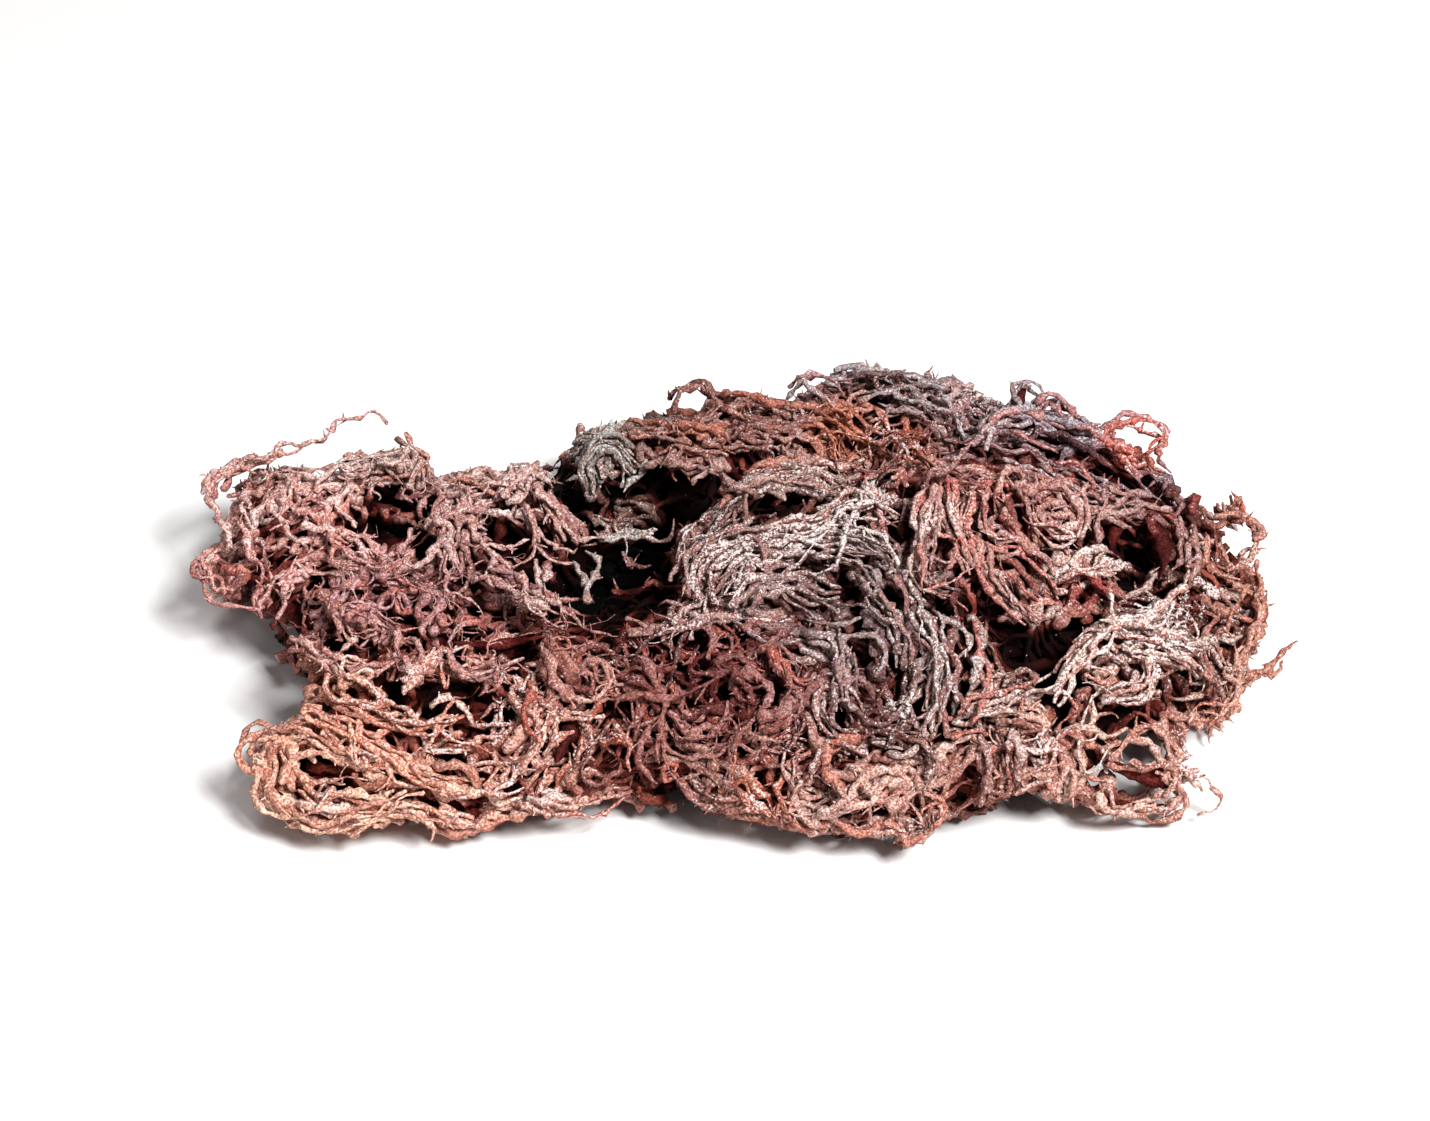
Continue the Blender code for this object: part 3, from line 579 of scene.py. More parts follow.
LOOKS = {
    "left_rose_tuft": Look(
        1.05, 0.06, 0.11, 1.3, 0.35, 4, 0.45, (213, 190, 184), (204, 154, 150), (52, 18, 17), (196, 122, 102)
    ),
    "left_back_tuft": Look(
        0.9, 0.06, 0.11, 1.3, 0.3, 4, 0.35, (178, 173, 168), (155, 121, 115), (49, 18, 16), (191, 116, 95)
    ),
    "left_inner_tuft": Look(
        1.05, 0.08, 0.1, 1.3, 0.3, 4, 0.4, (206, 191, 186), (173, 134, 129), (48, 16, 16), (152, 104, 107)
    ),
    "left_front_tuft": Look(
        0.88, 0.04, 0.13, 1.3, 0.5, 3, 0.25, (190, 161, 166), (132, 80, 83), (46, 14, 14), (191, 122, 102)
    ),
    "orange_corner_bundle": Look(
        1.12, 0.3, 0.05, 0.4, 0.15, 2, 0.55, (225, 200, 179), (204, 150, 131), (67, 26, 20), (204, 122, 95)
    ),
    "crusted_front_tuft": Look(
        1.1, 0.14, 0.1, 0.9, 0.3, 2, 0.75, (210, 186, 173), (174, 124, 114), (61, 23, 20), (191, 140, 125)
    ),
    "front_red_tuft": Look(
        0.9, 0.08, 0.12, 1.2, 0.4, 3, 0.35, (169, 130, 124), (104, 49, 43), (54, 18, 16), (192, 110, 90)
    ),
    "hollow_grey_loops": Look(
        0.8, 0.25, 0.09, 0.5, 0.4, 2, 0.6, (177, 195, 192), (96, 91, 92), (36, 13, 12), (152, 104, 98)
    ),
    # Near black colours, as painted shade in the hollow
    "hollow_bed_tuft": Look(
        0.96, 0.05, 0.1, 0.4, 0.2, 1, 0.12, (52, 30, 30), (30, 14, 14), (6, 2, 2), (60, 34, 32)
    ),
    "grey_swirl_bundle": Look(
        0.92, 0.45, 0.04, 0.25, 0.1, 0.8, 0.8, (159, 148, 144), (111, 88, 87), (50, 23, 23), (168, 110, 102)
    ),
    "tan_ridge_tuft": Look(
        0.92, 0.18, 0.1, 0.9, 0.3, 2.5, 0.35, (170, 138, 131), (96, 53, 47), (57, 21, 17), (190, 120, 95)
    ),
    "purple_crown_tuft": Look(
        0.68, 0.15, 0.09, 0.5, 0.3, 2, 0.45, (171, 180, 184), (120, 100, 105), (42, 17, 18), (161, 98, 98)
    ),
    "purple_shoulder_bundle": Look(
        0.8, 0.45, 0.035, 0.25, 0.1, 1, 0.45, (149, 152, 163), (107, 87, 95), (42, 16, 17), (184, 104, 86)
    ),
    "coral_bundle": Look(
        1, 0.4, 0.05, 0.45, 0.15, 1.5, 0.45, (184, 156, 149), (141, 85, 80), (54, 19, 16), (186, 97, 86)
    ),
    "dark_fold_tuft": Look(
        0.88, 0.25, 0.07, 0.4, 0.2, 1.5, 0.25, (159, 134, 133), (101, 54, 52), (48, 15, 14), (152, 80, 74)
    ),
    "red_rim_tuft": Look(
        0.92, 0.14, 0.1, 1, 0.3, 3, 0.35, (188, 145, 127), (158, 105, 92), (63, 22, 18), (192, 110, 89)
    ),
    "crusted_band_tuft": Look(
        1.12, 0.35, 0.06, 0.5, 0.15, 2, 0.85, (185, 181, 173), (129, 95, 90), (54, 21, 19), (186, 116, 105)
    ),
    "ashen_band_tuft": Look(
        0.92, 0.4, 0.05, 0.35, 0.15, 1.2, 0.6, (159, 156, 156), (112, 92, 93), (45, 19, 20), (152, 101, 95)
    ),
    "inner_rose_tuft": Look(
        0.86, 0.07, 0.13, 1.2, 0.45, 3, 0.35, (150, 113, 112), (102, 50, 48), (49, 17, 16), (176, 102, 89)
    ),
    "front_lip_tuft": Look(
        0.86, 0.14, 0.11, 1.1, 0.4, 2.5, 0.5, (194, 172, 162), (130, 84, 75), (62, 22, 18), (198, 128, 107)
    ),
    "right_front_tuft": Look(
        0.88, 0.15, 0.11, 1, 0.4, 2.5, 0.5, (204, 184, 172), (171, 123, 112), (61, 23, 20), (196, 126, 105)
    ),
    "back_left_tuft": Look(
        0.96, 0.12, 0.09, 0.7, 0.25, 3, 0.35, (160, 127, 127), (89, 49, 47), (49, 18, 16), (182, 110, 93)
    ),
    "back_middle_tuft": Look(
        0.92, 0.15, 0.08, 0.6, 0.25, 2.5, 0.35, (186, 188, 181), (142, 114, 108), (48, 18, 16), (176, 108, 93)
    ),
    "back_right_tuft": Look(
        0.84, 0.25, 0.07, 0.5, 0.2, 2, 0.4, (157, 156, 163), (118, 93, 100), (45, 17, 16), (164, 98, 90)
    ),
}

# More strands that stand out in the picture, too fine for the part itself
FINER_GUIDES = {
    "coral_bundle": (
        [(1038, 515), (1046, 505), (1058, 504), (1067, 512), (1060, 522), (1048, 521)],
        [(1040, 520), (1052, 513), (1064, 516)],
        [(1042, 508), (1050, 499), (1064, 500), (1072, 508)],
        [(1006, 494), (1016, 530), (1036, 556)],
    ),
    "crusted_band_tuft": (
        [(1000, 692), (1008, 678), (1024, 669), (1035, 677), (1028, 692), (1010, 699)],
        [(1016, 684), (1028, 700), (1050, 690), (1068, 694)],
        [(1092, 668), (1104, 656), (1124, 660), (1128, 676)],
    ),
    "ashen_band_tuft": (
        [(838, 640), (858, 634), (880, 640), (886, 660), (874, 676)],
        [(926, 616), (946, 622), (968, 634), (968, 650), (960, 656)],
    ),
    "inner_rose_tuft": (
        [(770, 664), (788, 676), (800, 700), (796, 722)],
        [(726, 690), (742, 676), (762, 682), (768, 700), (756, 716)],
        [(716, 664), (736, 656), (758, 664)],
    ),
    "front_red_tuft": (
        [(600, 744), (622, 738), (646, 742), (662, 752)],
        [(612, 680), (630, 668), (652, 672), (664, 684)],
    ),
    "hollow_grey_loops": (
        [(592, 500), (594, 470), (606, 452), (620, 458), (626, 474), (622, 488)],
        [(644, 462), (638, 478), (626, 484)],
    ),
    "left_inner_tuft": (
        [(536, 560), (540, 590), (556, 604)],
        [(470, 520), (486, 548), (506, 566), (512, 590)],
    ),
    "left_back_tuft": ([(440, 486), (462, 480), (486, 486), (500, 500)],),
    "left_rose_tuft": (
        [(240, 520), (248, 548), (262, 566), (256, 588)],
        [(204, 504), (204, 488), (214, 474), (234, 465), (264, 457), (290, 448)],
        [(213, 498), (215, 484), (230, 474), (258, 464), (280, 454)],
        [(224, 490), (232, 478), (248, 470)],
        [(268, 500), (280, 524), (300, 540), (330, 540)],
        [(262, 588), (256, 604), (258, 618)],
    ),
    "left_front_tuft": (
        [(388, 640), (398, 628), (396, 648), (404, 660)],
        [(404, 660), (416, 668), (434, 668), (440, 656)],
    ),
    "tan_ridge_tuft": (
        [(700, 440), (730, 448), (760, 446), (790, 456), (822, 460)],
        [(842, 430), (866, 436), (884, 452), (900, 458)],
    ),
    "purple_crown_tuft": (
        [(880, 398), (900, 388), (920, 394), (912, 408), (892, 410)],
        [(940, 392), (952, 408), (956, 430)],
    ),
    "dark_fold_tuft": (
        [(1150, 520), (1160, 540), (1176, 552), (1180, 576)],
        [(1084, 574), (1094, 586), (1110, 590), (1106, 576), (1090, 566)],
    ),
    "red_rim_tuft": (
        [(1208, 536), (1204, 556), (1216, 572), (1236, 582)],
        [(1206, 596), (1222, 612), (1238, 604), (1244, 588)],
    ),
    "right_front_tuft": (
        [(1060, 734), (1086, 728), (1110, 736), (1126, 730)],
        [(986, 752), (1012, 744), (1040, 752), (1066, 748)],
    ),
    "front_lip_tuft": (
        [(820, 790), (850, 780), (880, 762), (900, 764)],
        [(770, 806), (790, 818), (812, 827)],
        [(884, 800), (908, 792), (930, 794), (944, 806)],
    ),
    "crusted_front_tuft": (
        [(462, 746), (490, 738), (516, 744), (536, 736)],
        [(430, 706), (444, 700), (462, 706), (474, 720)],
    ),
    "orange_corner_bundle": (
        [(282, 780), (292, 762), (316, 752), (346, 762), (372, 776)],
        [(272, 792), (296, 806), (330, 812), (366, 806)],
        [(340, 740), (368, 752), (396, 770), (424, 776)],
    ),
}

# The heap's outline in the picture, clockwise from the loop at its left. Fine fronds end there.
OUTLINE = np.array([
    (198, 563), (215, 551), (224, 532), (233, 518), (235, 503), (222, 492), (203, 490), (204, 474),
    (228, 466), (246, 474), (280, 470), (304, 470), (318, 480), (333, 470), (346, 460), (380, 456),
    (416, 456), (427, 470), (422, 486), (440, 480), (462, 472), (500, 474), (520, 460), (545, 465),
    (562, 459), (570, 448), (582, 434), (610, 428), (640, 424), (656, 416), (700, 418), (716, 394),
    (742, 396), (762, 403), (792, 404), (814, 398), (822, 384), (838, 375), (862, 372), (900, 373),
    (932, 378), (962, 390), (986, 402), (1004, 412), (1042, 412), (1080, 422), (1102, 436), (1126, 448),
    (1146, 462), (1162, 480), (1180, 500), (1196, 509), (1228, 508), (1238, 502), (1258, 518), (1263, 545),
    (1259, 576), (1260, 600), (1264, 622), (1258, 642), (1246, 666), (1240, 692), (1234, 708), (1214, 726),
    (1190, 718), (1176, 732), (1184, 764), (1204, 780), (1214, 796), (1210, 814), (1180, 814), (1150, 813),
    (1118, 812), (1086, 802), (1060, 796), (1034, 790), (1010, 792), (990, 806), (968, 816), (950, 814),
    (936, 830), (920, 843), (894, 842), (874, 834), (840, 832), (806, 830), (778, 825), (738, 818),
    (700, 808), (668, 802), (620, 800), (562, 806), (546, 812), (500, 811), (482, 822), (466, 834),
    (440, 826), (410, 820), (388, 814), (368, 821), (344, 827), (308, 825), (280, 816), (262, 800),
    (257, 780), (259, 760), (268, 738), (290, 722), (304, 714), (306, 700), (318, 690), (312, 678),
    (290, 662), (270, 655), (262, 640), (276, 624), (270, 608), (246, 603), (216, 586),
], float)

# Places in the picture where one sees past the fronds of the rim, and their radius there
OPENINGS = (
    (226, 560, 5), (226, 572, 5), (218, 502, 8), (228, 512, 6), (312, 764, 3),
    (270, 750, 6), (282, 640, 1), (1233, 541, 13), (1235, 550, 10), (1247, 610, 7), (1222, 648, 6),
    (1222, 662, 6), (1142, 748, 18), (1158, 752, 14), (1128, 754, 12), (1116, 786, 11), (1132, 792, 8),
    (1150, 794, 6), (1196, 788, 7), (1198, 804, 8), (1212, 524, 5), (258, 610, 8), (272, 470, 5),
)

# Places in the picture where one sees deep between the fronds, and their radius there. Fronds are sunk there
# and painted dark as shade.
PITS = (
    (600, 590, 44), (640, 580, 44), (560, 600, 22), (538, 548, 17), (516, 530, 10),
    (655, 545, 22), (610, 625, 12), (560, 482, 22),
    (575, 505, 16), (690, 500, 26), (725, 485, 16), (660, 485, 16), (585, 545, 22), (530, 575, 12),
    (355, 530, 15), (386, 533, 15), (366, 501, 7), (405, 509, 7), (430, 548, 9),
    (320, 578, 12), (250, 590, 9), (274, 643, 15),
    (345, 650, 13), (375, 657, 12), (430, 702, 20), (458, 706, 14), (398, 700, 12), (338, 689, 9),
    (478, 650, 9), (470, 690, 11), (500, 690, 10), (525, 652, 15), (428, 640, 8), (410, 620, 8),
    (480, 605, 9), (448, 572, 7), (610, 712, 8), (474, 804, 11), (400, 796, 7),
    (655, 796, 14), (682, 790, 12), (700, 645, 9), (760, 505, 13), (785, 512, 10), (902, 532, 15),
    (892, 600, 13), (855, 601, 13), (828, 600, 9), (905, 492, 12), (940, 610, 12), (965, 604, 13),
    (990, 612, 11), (965, 642, 8), (1020, 650, 24), (1052, 645, 20), (1075, 630, 13), (985, 542, 8),
    (978, 570, 7), (1040, 692, 10), (1118, 540, 18), (1135, 568, 16), (1150, 545, 13), (1125, 587, 10),
    (880, 402, 10), (862, 420, 9), (878, 757, 12), (857, 760, 9), (958, 728, 11), (938, 737, 9),
    (775, 801, 10), (810, 431, 8), (782, 441, 8), (1096, 470, 7), (905, 600, 9), (760, 770, 8),
)

# Places in the picture where fronds are redder or more orange than their bundle: place, reach, colour
ACCENTS = (
    (1135, 443, 38, (186, 96, 72)), (845, 432, 40, (190, 122, 92)), (905, 445, 34, (186, 118, 96)),
    (1085, 590, 30, (142, 52, 46)), (1150, 545, 24, (96, 36, 30)), (760, 800, 30, (196, 132, 108)),
)

# Places in the picture where salt lies thick on the fronds, and how far it reaches there
CRUSTS = (
    (255, 540, 34), (500, 725, 22), (590, 735, 24), (570, 752, 26), (450, 745, 26), (545, 792, 22),
    (380, 690, 20), (620, 530, 18), (648, 532, 14), (505, 508, 22), (1135, 650, 34), (1185, 620, 32),
    (1150, 615, 24), (1075, 540, 24), (870, 500, 26), (850, 520, 26), (800, 535, 36), (740, 560, 26),
    (905, 700, 26), (895, 680, 22), (1175, 642, 22), (885, 436, 22), (906, 452, 18), (976, 400, 20),
    (1040, 750, 22), (1160, 806, 18), (760, 802, 20), (1070, 690, 24), (345, 470, 12), (330, 800, 26),
)

# Layers of fine fronds on the skin: how many to 1000 square mm, their length, their lift over the skin,
# their thickness against the tuft's own, and the length of a stretch
Layer = namedtuple("Layer", "density length lift share stretch")

LAYERS = (
    Layer(9.5, (24, 44), (-5.5, -3.0), 1.15, 2.4),
    Layer(11.0, (26, 56), (-3.0, -0.2), 1.00, 1.8),
    Layer(8.0, (26, 64), (-0.2, 2.6), 0.95, 1.5),
)

# Smooth flat blades: their tuft, their way in the picture, and half their width
BLADES = (
    ("dark_fold_tuft", [(1148, 514), (1160, 540), (1163, 566), (1154, 590)], 2.4),
    ("dark_fold_tuft", [(1124, 516), (1112, 536), (1112, 556)], 1.6),
    ("dark_fold_tuft", [(1074, 552), (1090, 562), (1104, 580), (1118, 592)], 1.8),
    ("purple_crown_tuft", [(1017, 414), (1019, 398), (1027, 386)], 1.6),
    ("coral_bundle", [(1006, 512), (1022, 540), (1046, 578), (1056, 600)], 1.6),
    ("right_front_tuft", [(1104, 762), (1138, 775), (1166, 780), (1184, 798)], 1.7),
    ("right_front_tuft", [(1094, 792), (1130, 807), (1180, 806)], 1.4),
    ("left_front_tuft", [(454, 642), (490, 646), (520, 642), (548, 636)], 1.1),
    ("tan_ridge_tuft", [(696, 388), (714, 400), (730, 404), (752, 414)], 1.5),
    ("crusted_front_tuft", [(560, 690), (576, 716), (566, 740), (556, 762)], 1.7),
    ("front_red_tuft", [(620, 776), (650, 768), (686, 764), (730, 772)], 2.0),
    ("front_lip_tuft", [(840, 766), (866, 758), (890, 754), (916, 744)], 1.8),
)
BLADE_COLOUR = np.array([0.085, 0.016, 0.014])
BLADE_LIFT = 0.8
FINER_LIFT = 1.6

# What a frond is: the number of its layer on the skin, from 0, or one of these
STEM, FORK, SMALL_FORK, STUB, BLADE, TRACED = 3, 4, 5, 6, 7, 8

# The kinds of fronds with five sides. The others have four.
ROUNDER = (1, 2, STEM, FORK, TRACED)

# The usual stretch of a fine frond, which combing, wandering and curling are given for, how open a frond
# has to be somewhere so that it is kept, and the seed of the draws
FINE_STRETCH = 1.5
HIDDEN = 0.12
DRAW = 11

# Side branches: their chance on a ring, their length, their thickness against the parent's, the angle that
# they fork off at, how far they rise, the length of a stretch, how much they curl, and what they are
Forking = namedtuple("Forking", "chance length share spread rise stretch curl kind")

WIDE_FORKS = Forking(0.105, (5, 18), (0.6, 0.95), (0.5, 1.25), 2.8, FINE_STRETCH, 0.6, FORK)
SHORT_FORKS = Forking(0.075, (3, 8), (0.5, 0.9), (0.5, 1.3), 2.0, 1.2, 0.6, SMALL_FORK)
STUB_CHANCE = 0.12

# How far past the outline fronds may show, in pixels, least and most: those on the skin, the side branches
# and those of the main strands
SKIN_SLACK, FORK_SLACK, STEM_SLACK = (-5, 5), (-4, 7), (2, 9)

# The share of fronds that stop at a dark place, of those on the skin and those of the main strands
SKIN_STOPS, STEM_STOPS = 0.75, 0.85

# Small bends and knobs along a frond: their wavelengths in mm, and the bends' size
BENDS = ((17.0, 1.5), (9.0, 1.1), (4.6, 0.6))
KNOB_LENGTHS = (5.1, 2.7)

# Waves through space for the heap's relief, the fronds' tone and the salt: how many, the longest and the
# shortest, in mm
RELIEF_WAVES, TONE_WAVES, CRUST_WAVES = (10, 34, 14), (8, 60, 20), (8, 40, 12)

# Where moss over a point is looked for, and how much it counts there
COVERS = ((3.2, 1.0), (5.6, 1.0), (8.2, 0.8))

# The thickness of the traced strands against a stem's, of those of GUIDES and of FINER_GUIDES
TRACED_SHARE, FINER_SHARE = 0.9, 1.1

# Fronds in place of a strand: their thickness against it, and how far from its middle line they run
SPLIT_SHARE, SPLIT_SPREAD = 0.40, 0.74

# The dark cores: how much smaller than the part's, how rough, and how far inside the outline, in pixels
CORE_SHRINK, CORE_ROUGHNESS, CORE_INSET = 1.2, 2.2, 17

# How the fronds lie: the height of the heap's swells, how strongly the outline presses them in, how deep
# the dark places are, and the lowest that these take a frond against the skin
SWELL = 2.6
PRESS = 1.8
PIT_DEPTH = 4.6
LOWEST = -7.0

# How far inside the outline the pressing begins, in pixels, and the most that it comes to
PRESS_MARGIN = 7
PRESS_MOST = 8

# The least height over the floor of fronds that grow, of bent and of split ones, of stubs, of the cores
# and of any surface
GROWN_LOW, BENT_LOW, SPLIT_LOW, STUB_LOW, CORE_LOW, SURFACE_LOW = 1.3, 0.9, 1.2, 0.8, 0.4, 0.02

# How far round a traced strand it guides other fronds, in square mm, and the pull of the tuft's own way
GUIDE_REACH = 160
OWN_PULL = 0.35

# How far the colours of tufts run into each other, and the height over which the painted shade of dark
# places fades, in mm
COLOUR_REACH = 5
PIT_FADE = 2.6

# The powers by which painted shade dims red, green and blue, and what they lose on a frond's underside as
# painted shade
SHADE_POWERS = np.array([0.95, 1.6, 1.75])
UNDERSIDE_SHADE = np.array([0.10, 0.16, 0.17])

# What the thicknesses and the body colours of LOOKS are multiplied by
THICKER = 1.08
BODY_WARMTH = np.array([1.0, 0.92, 0.9])

# The tuft at the bed of the hollow, whose fronds get more painted shade
SHADED_HOLLOW = NAMES.index("hollow_bed_tuft")
LOOK_OF = [LOOKS[tuft.name] for tuft in TUFTS]
THICK, COMB, WANDER, FORKS, CURL, RISE, SALT = np.array([look[:7] for look in LOOK_OF], float).T
THICK = THICK * THICKER


def linear(colours):
    """sRGB colours, 0 to 255, as linear ones."""
    share = np.asarray(colours, float) / 255
    return np.where(share <= 0.04045, share / 12.92, ((share + 0.055) / 1.055) ** 2.4)


LIGHT = linear([look.light for look in LOOK_OF])
BODY = linear([look.body for look in LOOK_OF]) * BODY_WARMTH
# The deep colours are painted shade: they fill in between the fronds and colour the dark cores
DEEP_SHADE = linear([look.deep for look in LOOK_OF])
ODD = linear([look.odd for look in LOOK_OF])


# A batch of fronds as one run of rings. start and count say which rings are a frond's; the rest has a
# value for each frond, but radius, which has one for each ring.
Fronds = namedtuple("Fronds", "tuft points radius start count flat salt tone layer")


def units(vectors):
    """The vectors at length 1."""
    return vectors / np.maximum(np.linalg.norm(vectors, axis=-1, keepdims=True), 1e-9)


def dots(a, b):
    """The dot product of each pair of vectors, as a column."""
    return (a * b).sum(axis=-1, keepdims=True)


def spun(vectors, axes, angles):
    """The vectors turned about unit axes."""
    c, s = np.cos(angles)[:, None], np.sin(angles)[:, None]
    return vectors * c + np.cross(axes, vectors) * s + axes * dots(axes, vectors) * (1 - c)


def skin_and_outward(points):
    """What skin() and outward() give, worked out together."""
    by_half = np.einsum("tij,ntj->nti", TURNS, points[:, None, :] - CENTRES) / HALVES
    steep = by_half / HALVES
    scaled = np.linalg.norm(by_half, axis=2)
    slope = np.maximum(np.linalg.norm(steep, axis=2), 1e-9)
    distances = scaled * (scaled - 1) / slope - SKIN_DEPTH
    nearest = distances.min(axis=1)
    weights = np.exp((nearest[:, None] - distances) / SKIN_BLEND)
    height = nearest - SKIN_BLEND * np.log(weights.sum(axis=1))
    away = np.einsum("tij,nti->ntj", TURNS, steep / slope[..., None])
    return height, units((away * weights[..., None]).sum(axis=1))


def in_picture(points):
    """Where points of the heap show in the picture."""
    away = points - EYE
    scale = SIGHT_DISTANCE / PIXEL / (away @ SIGHT_FORWARD)
    across = PICTURE_MIDDLE[0] + away @ SIGHT_RIGHT * scale
    return np.stack([across, PICTURE_MIDDLE[1] - away @ SIGHT_UP * scale], axis=-1)


def within(seen, places, firmness):
    """How far inside the nearest of some round places points of the picture are, from 0 at the rim to 1."""
    depth = np.zeros(len(seen))
    for x, y, reach in places:
        aside = np.hypot(seen[:, 0] - x, seen[:, 1] - y) / reach
        depth = np.maximum(depth, np.clip((1.2 - aside) * firmness, 0, 1))
    return depth


def depth_of_pits(points, normal):
    """How deep the moss is sunk at each point, from 0 to 1, on the side that the picture shows."""
    open_side = np.clip(0.4 - normal @ SIGHT_FORWARD, 0, 0.4) / 0.4
    return within(in_picture(points), PITS, 2.2) * open_side


def past_outline(seen):
    """How far past the heap's outline points of the picture are, negative inside it."""
    nearest = np.full(len(seen), np.inf)
    inside = np.zeros(len(seen), bool)
    for start, end in zip(OUTLINE, np.roll(OUTLINE, -1, axis=0)):
        span = end - start
        to_seen = seen - start
        share = np.clip(to_seen @ span / (span @ span), 0, 1)
        nearest = np.minimum(nearest, np.hypot(*(to_seen - share[:, None] * span).T))
        crosses = (start[1] > seen[:, 1]) != (end[1] > seen[:, 1])
        at = start[0] + span[0] * (seen[:, 1] - start[1]) / (span[1] if span[1] else 1e-9)
        inside ^= crosses & (seen[:, 0] < at)
    return np.where(inside, -nearest, nearest)


def outside(points):
    """How far past the heap's outline, or into an opening, each point shows in the picture."""
    seen = in_picture(points)
    past = past_outline(seen)
    for x, y, reach in OPENINGS:
        past = np.maximum(past, reach - np.hypot(seen[:, 0] - x, seen[:, 1] - y))
    return past


def squeeze(points):
    """How far in the moss is pressed at each point, in mm, so that it shows inside the outline."""
    return np.clip((past_outline(in_picture(points)) + PRESS_MARGIN) * PIXEL, 0, PRESS_MOST)


def cut_back(rng, points, counts, slack):
    """The fronds' counts, cut where a frond would show past the outline or in an opening."""
    rows, width = points.shape[:2]
    past = outside(points.reshape(-1, 3)).reshape(rows, width)
    past = past > rng.uniform(*slack, rows)[:, None]
    past[:, -1] = True
    return np.minimum(counts, past.argmax(axis=1) + (past.argmax(axis=1) == width - 1))


def waves(rng, count, longest, shortest):
    """Directions, wavelengths and phases of some waves through space."""
    directions = units(rng.normal(size=(count, 3)))
    lengths = rng.uniform(shortest, longest, count)
    return directions * (tau / lengths)[:, None], rng.uniform(0, tau, count)


def swell(points, wave_set):
    """A smooth random value at each point, mostly between -1 and 1."""
    directions, phases = wave_set
    return np.sin(points @ directions.T + phases).sum(axis=1) * (2 / len(phases)) ** 0.5 * 0.7


def flow_guides(traces):
    """For each tuft, points along the ways that its traced strands run, and the directions there."""
    guides = [([], []) for _ in TUFTS]
    for tuft, points in traces:
        dense = spaced(points, 4)
        guides[tuft][0].append(dense)
        guides[tuft][1].append(units(np.gradient(dense, axis=0)))
    return [
        (np.vstack(at), np.vstack(way)) if at else (np.zeros((0, 3)), np.zeros((0, 3)))
        for at, way in guides
    ]


def flow(tuft, here, heading, guides):
    """The way that the moss runs at each point, forward or backward as the heading has it."""
    way = np.zeros_like(here)
    for index in np.unique(tuft):
        own = tuft == index
        run = radians(TUFTS[index].run)
        base = unit(np.array([cos(run), sin(run) * 1.2, -0.3 * sin(run)]))
        at, along = guides[index]
        pull = np.exp(-((here[own][:, None, :] - at) ** 2).sum(axis=2) / GUIDE_REACH)
        pull = pull * np.sign(heading[own] @ along.T)
        lean = base * np.sign(heading[own] @ base)[:, None]
        way[own] = units(pull @ along + lean * OWN_PULL)
    return way


def grown(rng, tuft, at, heading, length, lift, comb, wander, curl, rise, stretch, guides, relief):
    """Fronds that grow over the skin from many places at once: (fronds, stations, 3) and their counts."""
    counts = np.maximum(3, np.round(length / stretch).astype(int)) + 1
    points = np.repeat(at[:, None, :], counts.max(), axis=1)
    here, swerve = at.copy(), np.zeros(len(at))
    pace = stretch / FINE_STRETCH
    for station in range(1, counts.max()):
        live = counts > station
        own, spot = tuft[live], here[live]
        height, normal = skin_and_outward(spot)
        share = station / (counts[live] - 1)
        way = heading[live]
        way = way + flow(own, spot, way, guides) * comb[live, None] * pace
        way = units(way - normal * dots(way, normal))
        swerve[live] = 0.86 * swerve[live] + rng.normal(size=live.sum()) * wander[live] * pace
        bend = curl[live] * np.clip((share - 0.5) / 0.5, 0, 1) ** 1.5
        way = spun(way, normal, swerve[live] + bend * pace)
        sunk = depth_of_pits(spot, normal)
        goal = lift[live] + SWELL * swell(spot, relief) + rise[live] * share**3 * (1 - sunk)
        goal = np.maximum(goal - PRESS * squeeze(spot) - PIT_DEPTH * sunk, np.minimum(goal, LOWEST))
        climb = np.clip((goal - height) / 5, -0.6, 0.6)
        step = units(way + normal * climb[:, None]) * stretch
        spot = spot + step
        spot[:, 2] = np.maximum(spot[:, 2], GROWN_LOW)
        heading[live] = way
        here[live] = spot
        points[live, station] = spot
    return points, counts


def crooked(rng, points, stretch, bow):
    """The padded fronds with small bends of their own."""
    rows, width = points.shape[:2]
    station = np.arange(width) * stretch
    for length, share in BENDS:
        phase = rng.uniform(0, tau, (rows, 1, 3))
        own_length = length * rng.uniform(0.75, 1.35, (rows, 1, 3))
        wave = np.sin(station[None, :, None] * tau / own_length + phase)
        points = points + np.reshape(bow, (-1, 1, 1)) * share * wave
    points[..., 2] = np.maximum(points[..., 2], BENT_LOW)
    return points


def batch(tuft, points, counts, radius, flat, salt, tone, layer):
    """Packs padded fronds into a run of rings. Fronds that were cut to a scrap are left out."""
    whole = counts >= 4
    tuft, points, counts, radius = tuft[whole], points[whole], counts[whole], radius[whole]
    flat, salt, tone, layer = flat[whole], salt[whole], tone[whole], layer[whole]
    keep = np.arange(points.shape[1]) < counts[:, None]
    start = np.concatenate([[0], np.cumsum(counts)[:-1]])
    return Fronds(tuft, points[keep], radius[keep], start, counts, flat, salt, tone, layer)


def joined(parts):
    """Some batches as one."""
    offset = np.cumsum([0] + [len(part.points) for part in parts[:-1]])
    start = np.concatenate([part.start + shift for part, shift in zip(parts, offset)])
    fields = {name: np.concatenate([getattr(part, name) for part in parts]) for name in Fronds._fields}
    fields["start"] = start
    return Fronds(**fields)


def owners(fronds):
    """For each ring, the frond that it is on."""
    return np.repeat(np.arange(len(fronds.count)), fronds.count)


def share_along(fronds):
    """For each ring, how far along its frond it is, from 0 to 1."""
    own = owners(fronds)
    return (np.arange(len(own)) - fronds.start[own]) / (fronds.count[own] - 1)


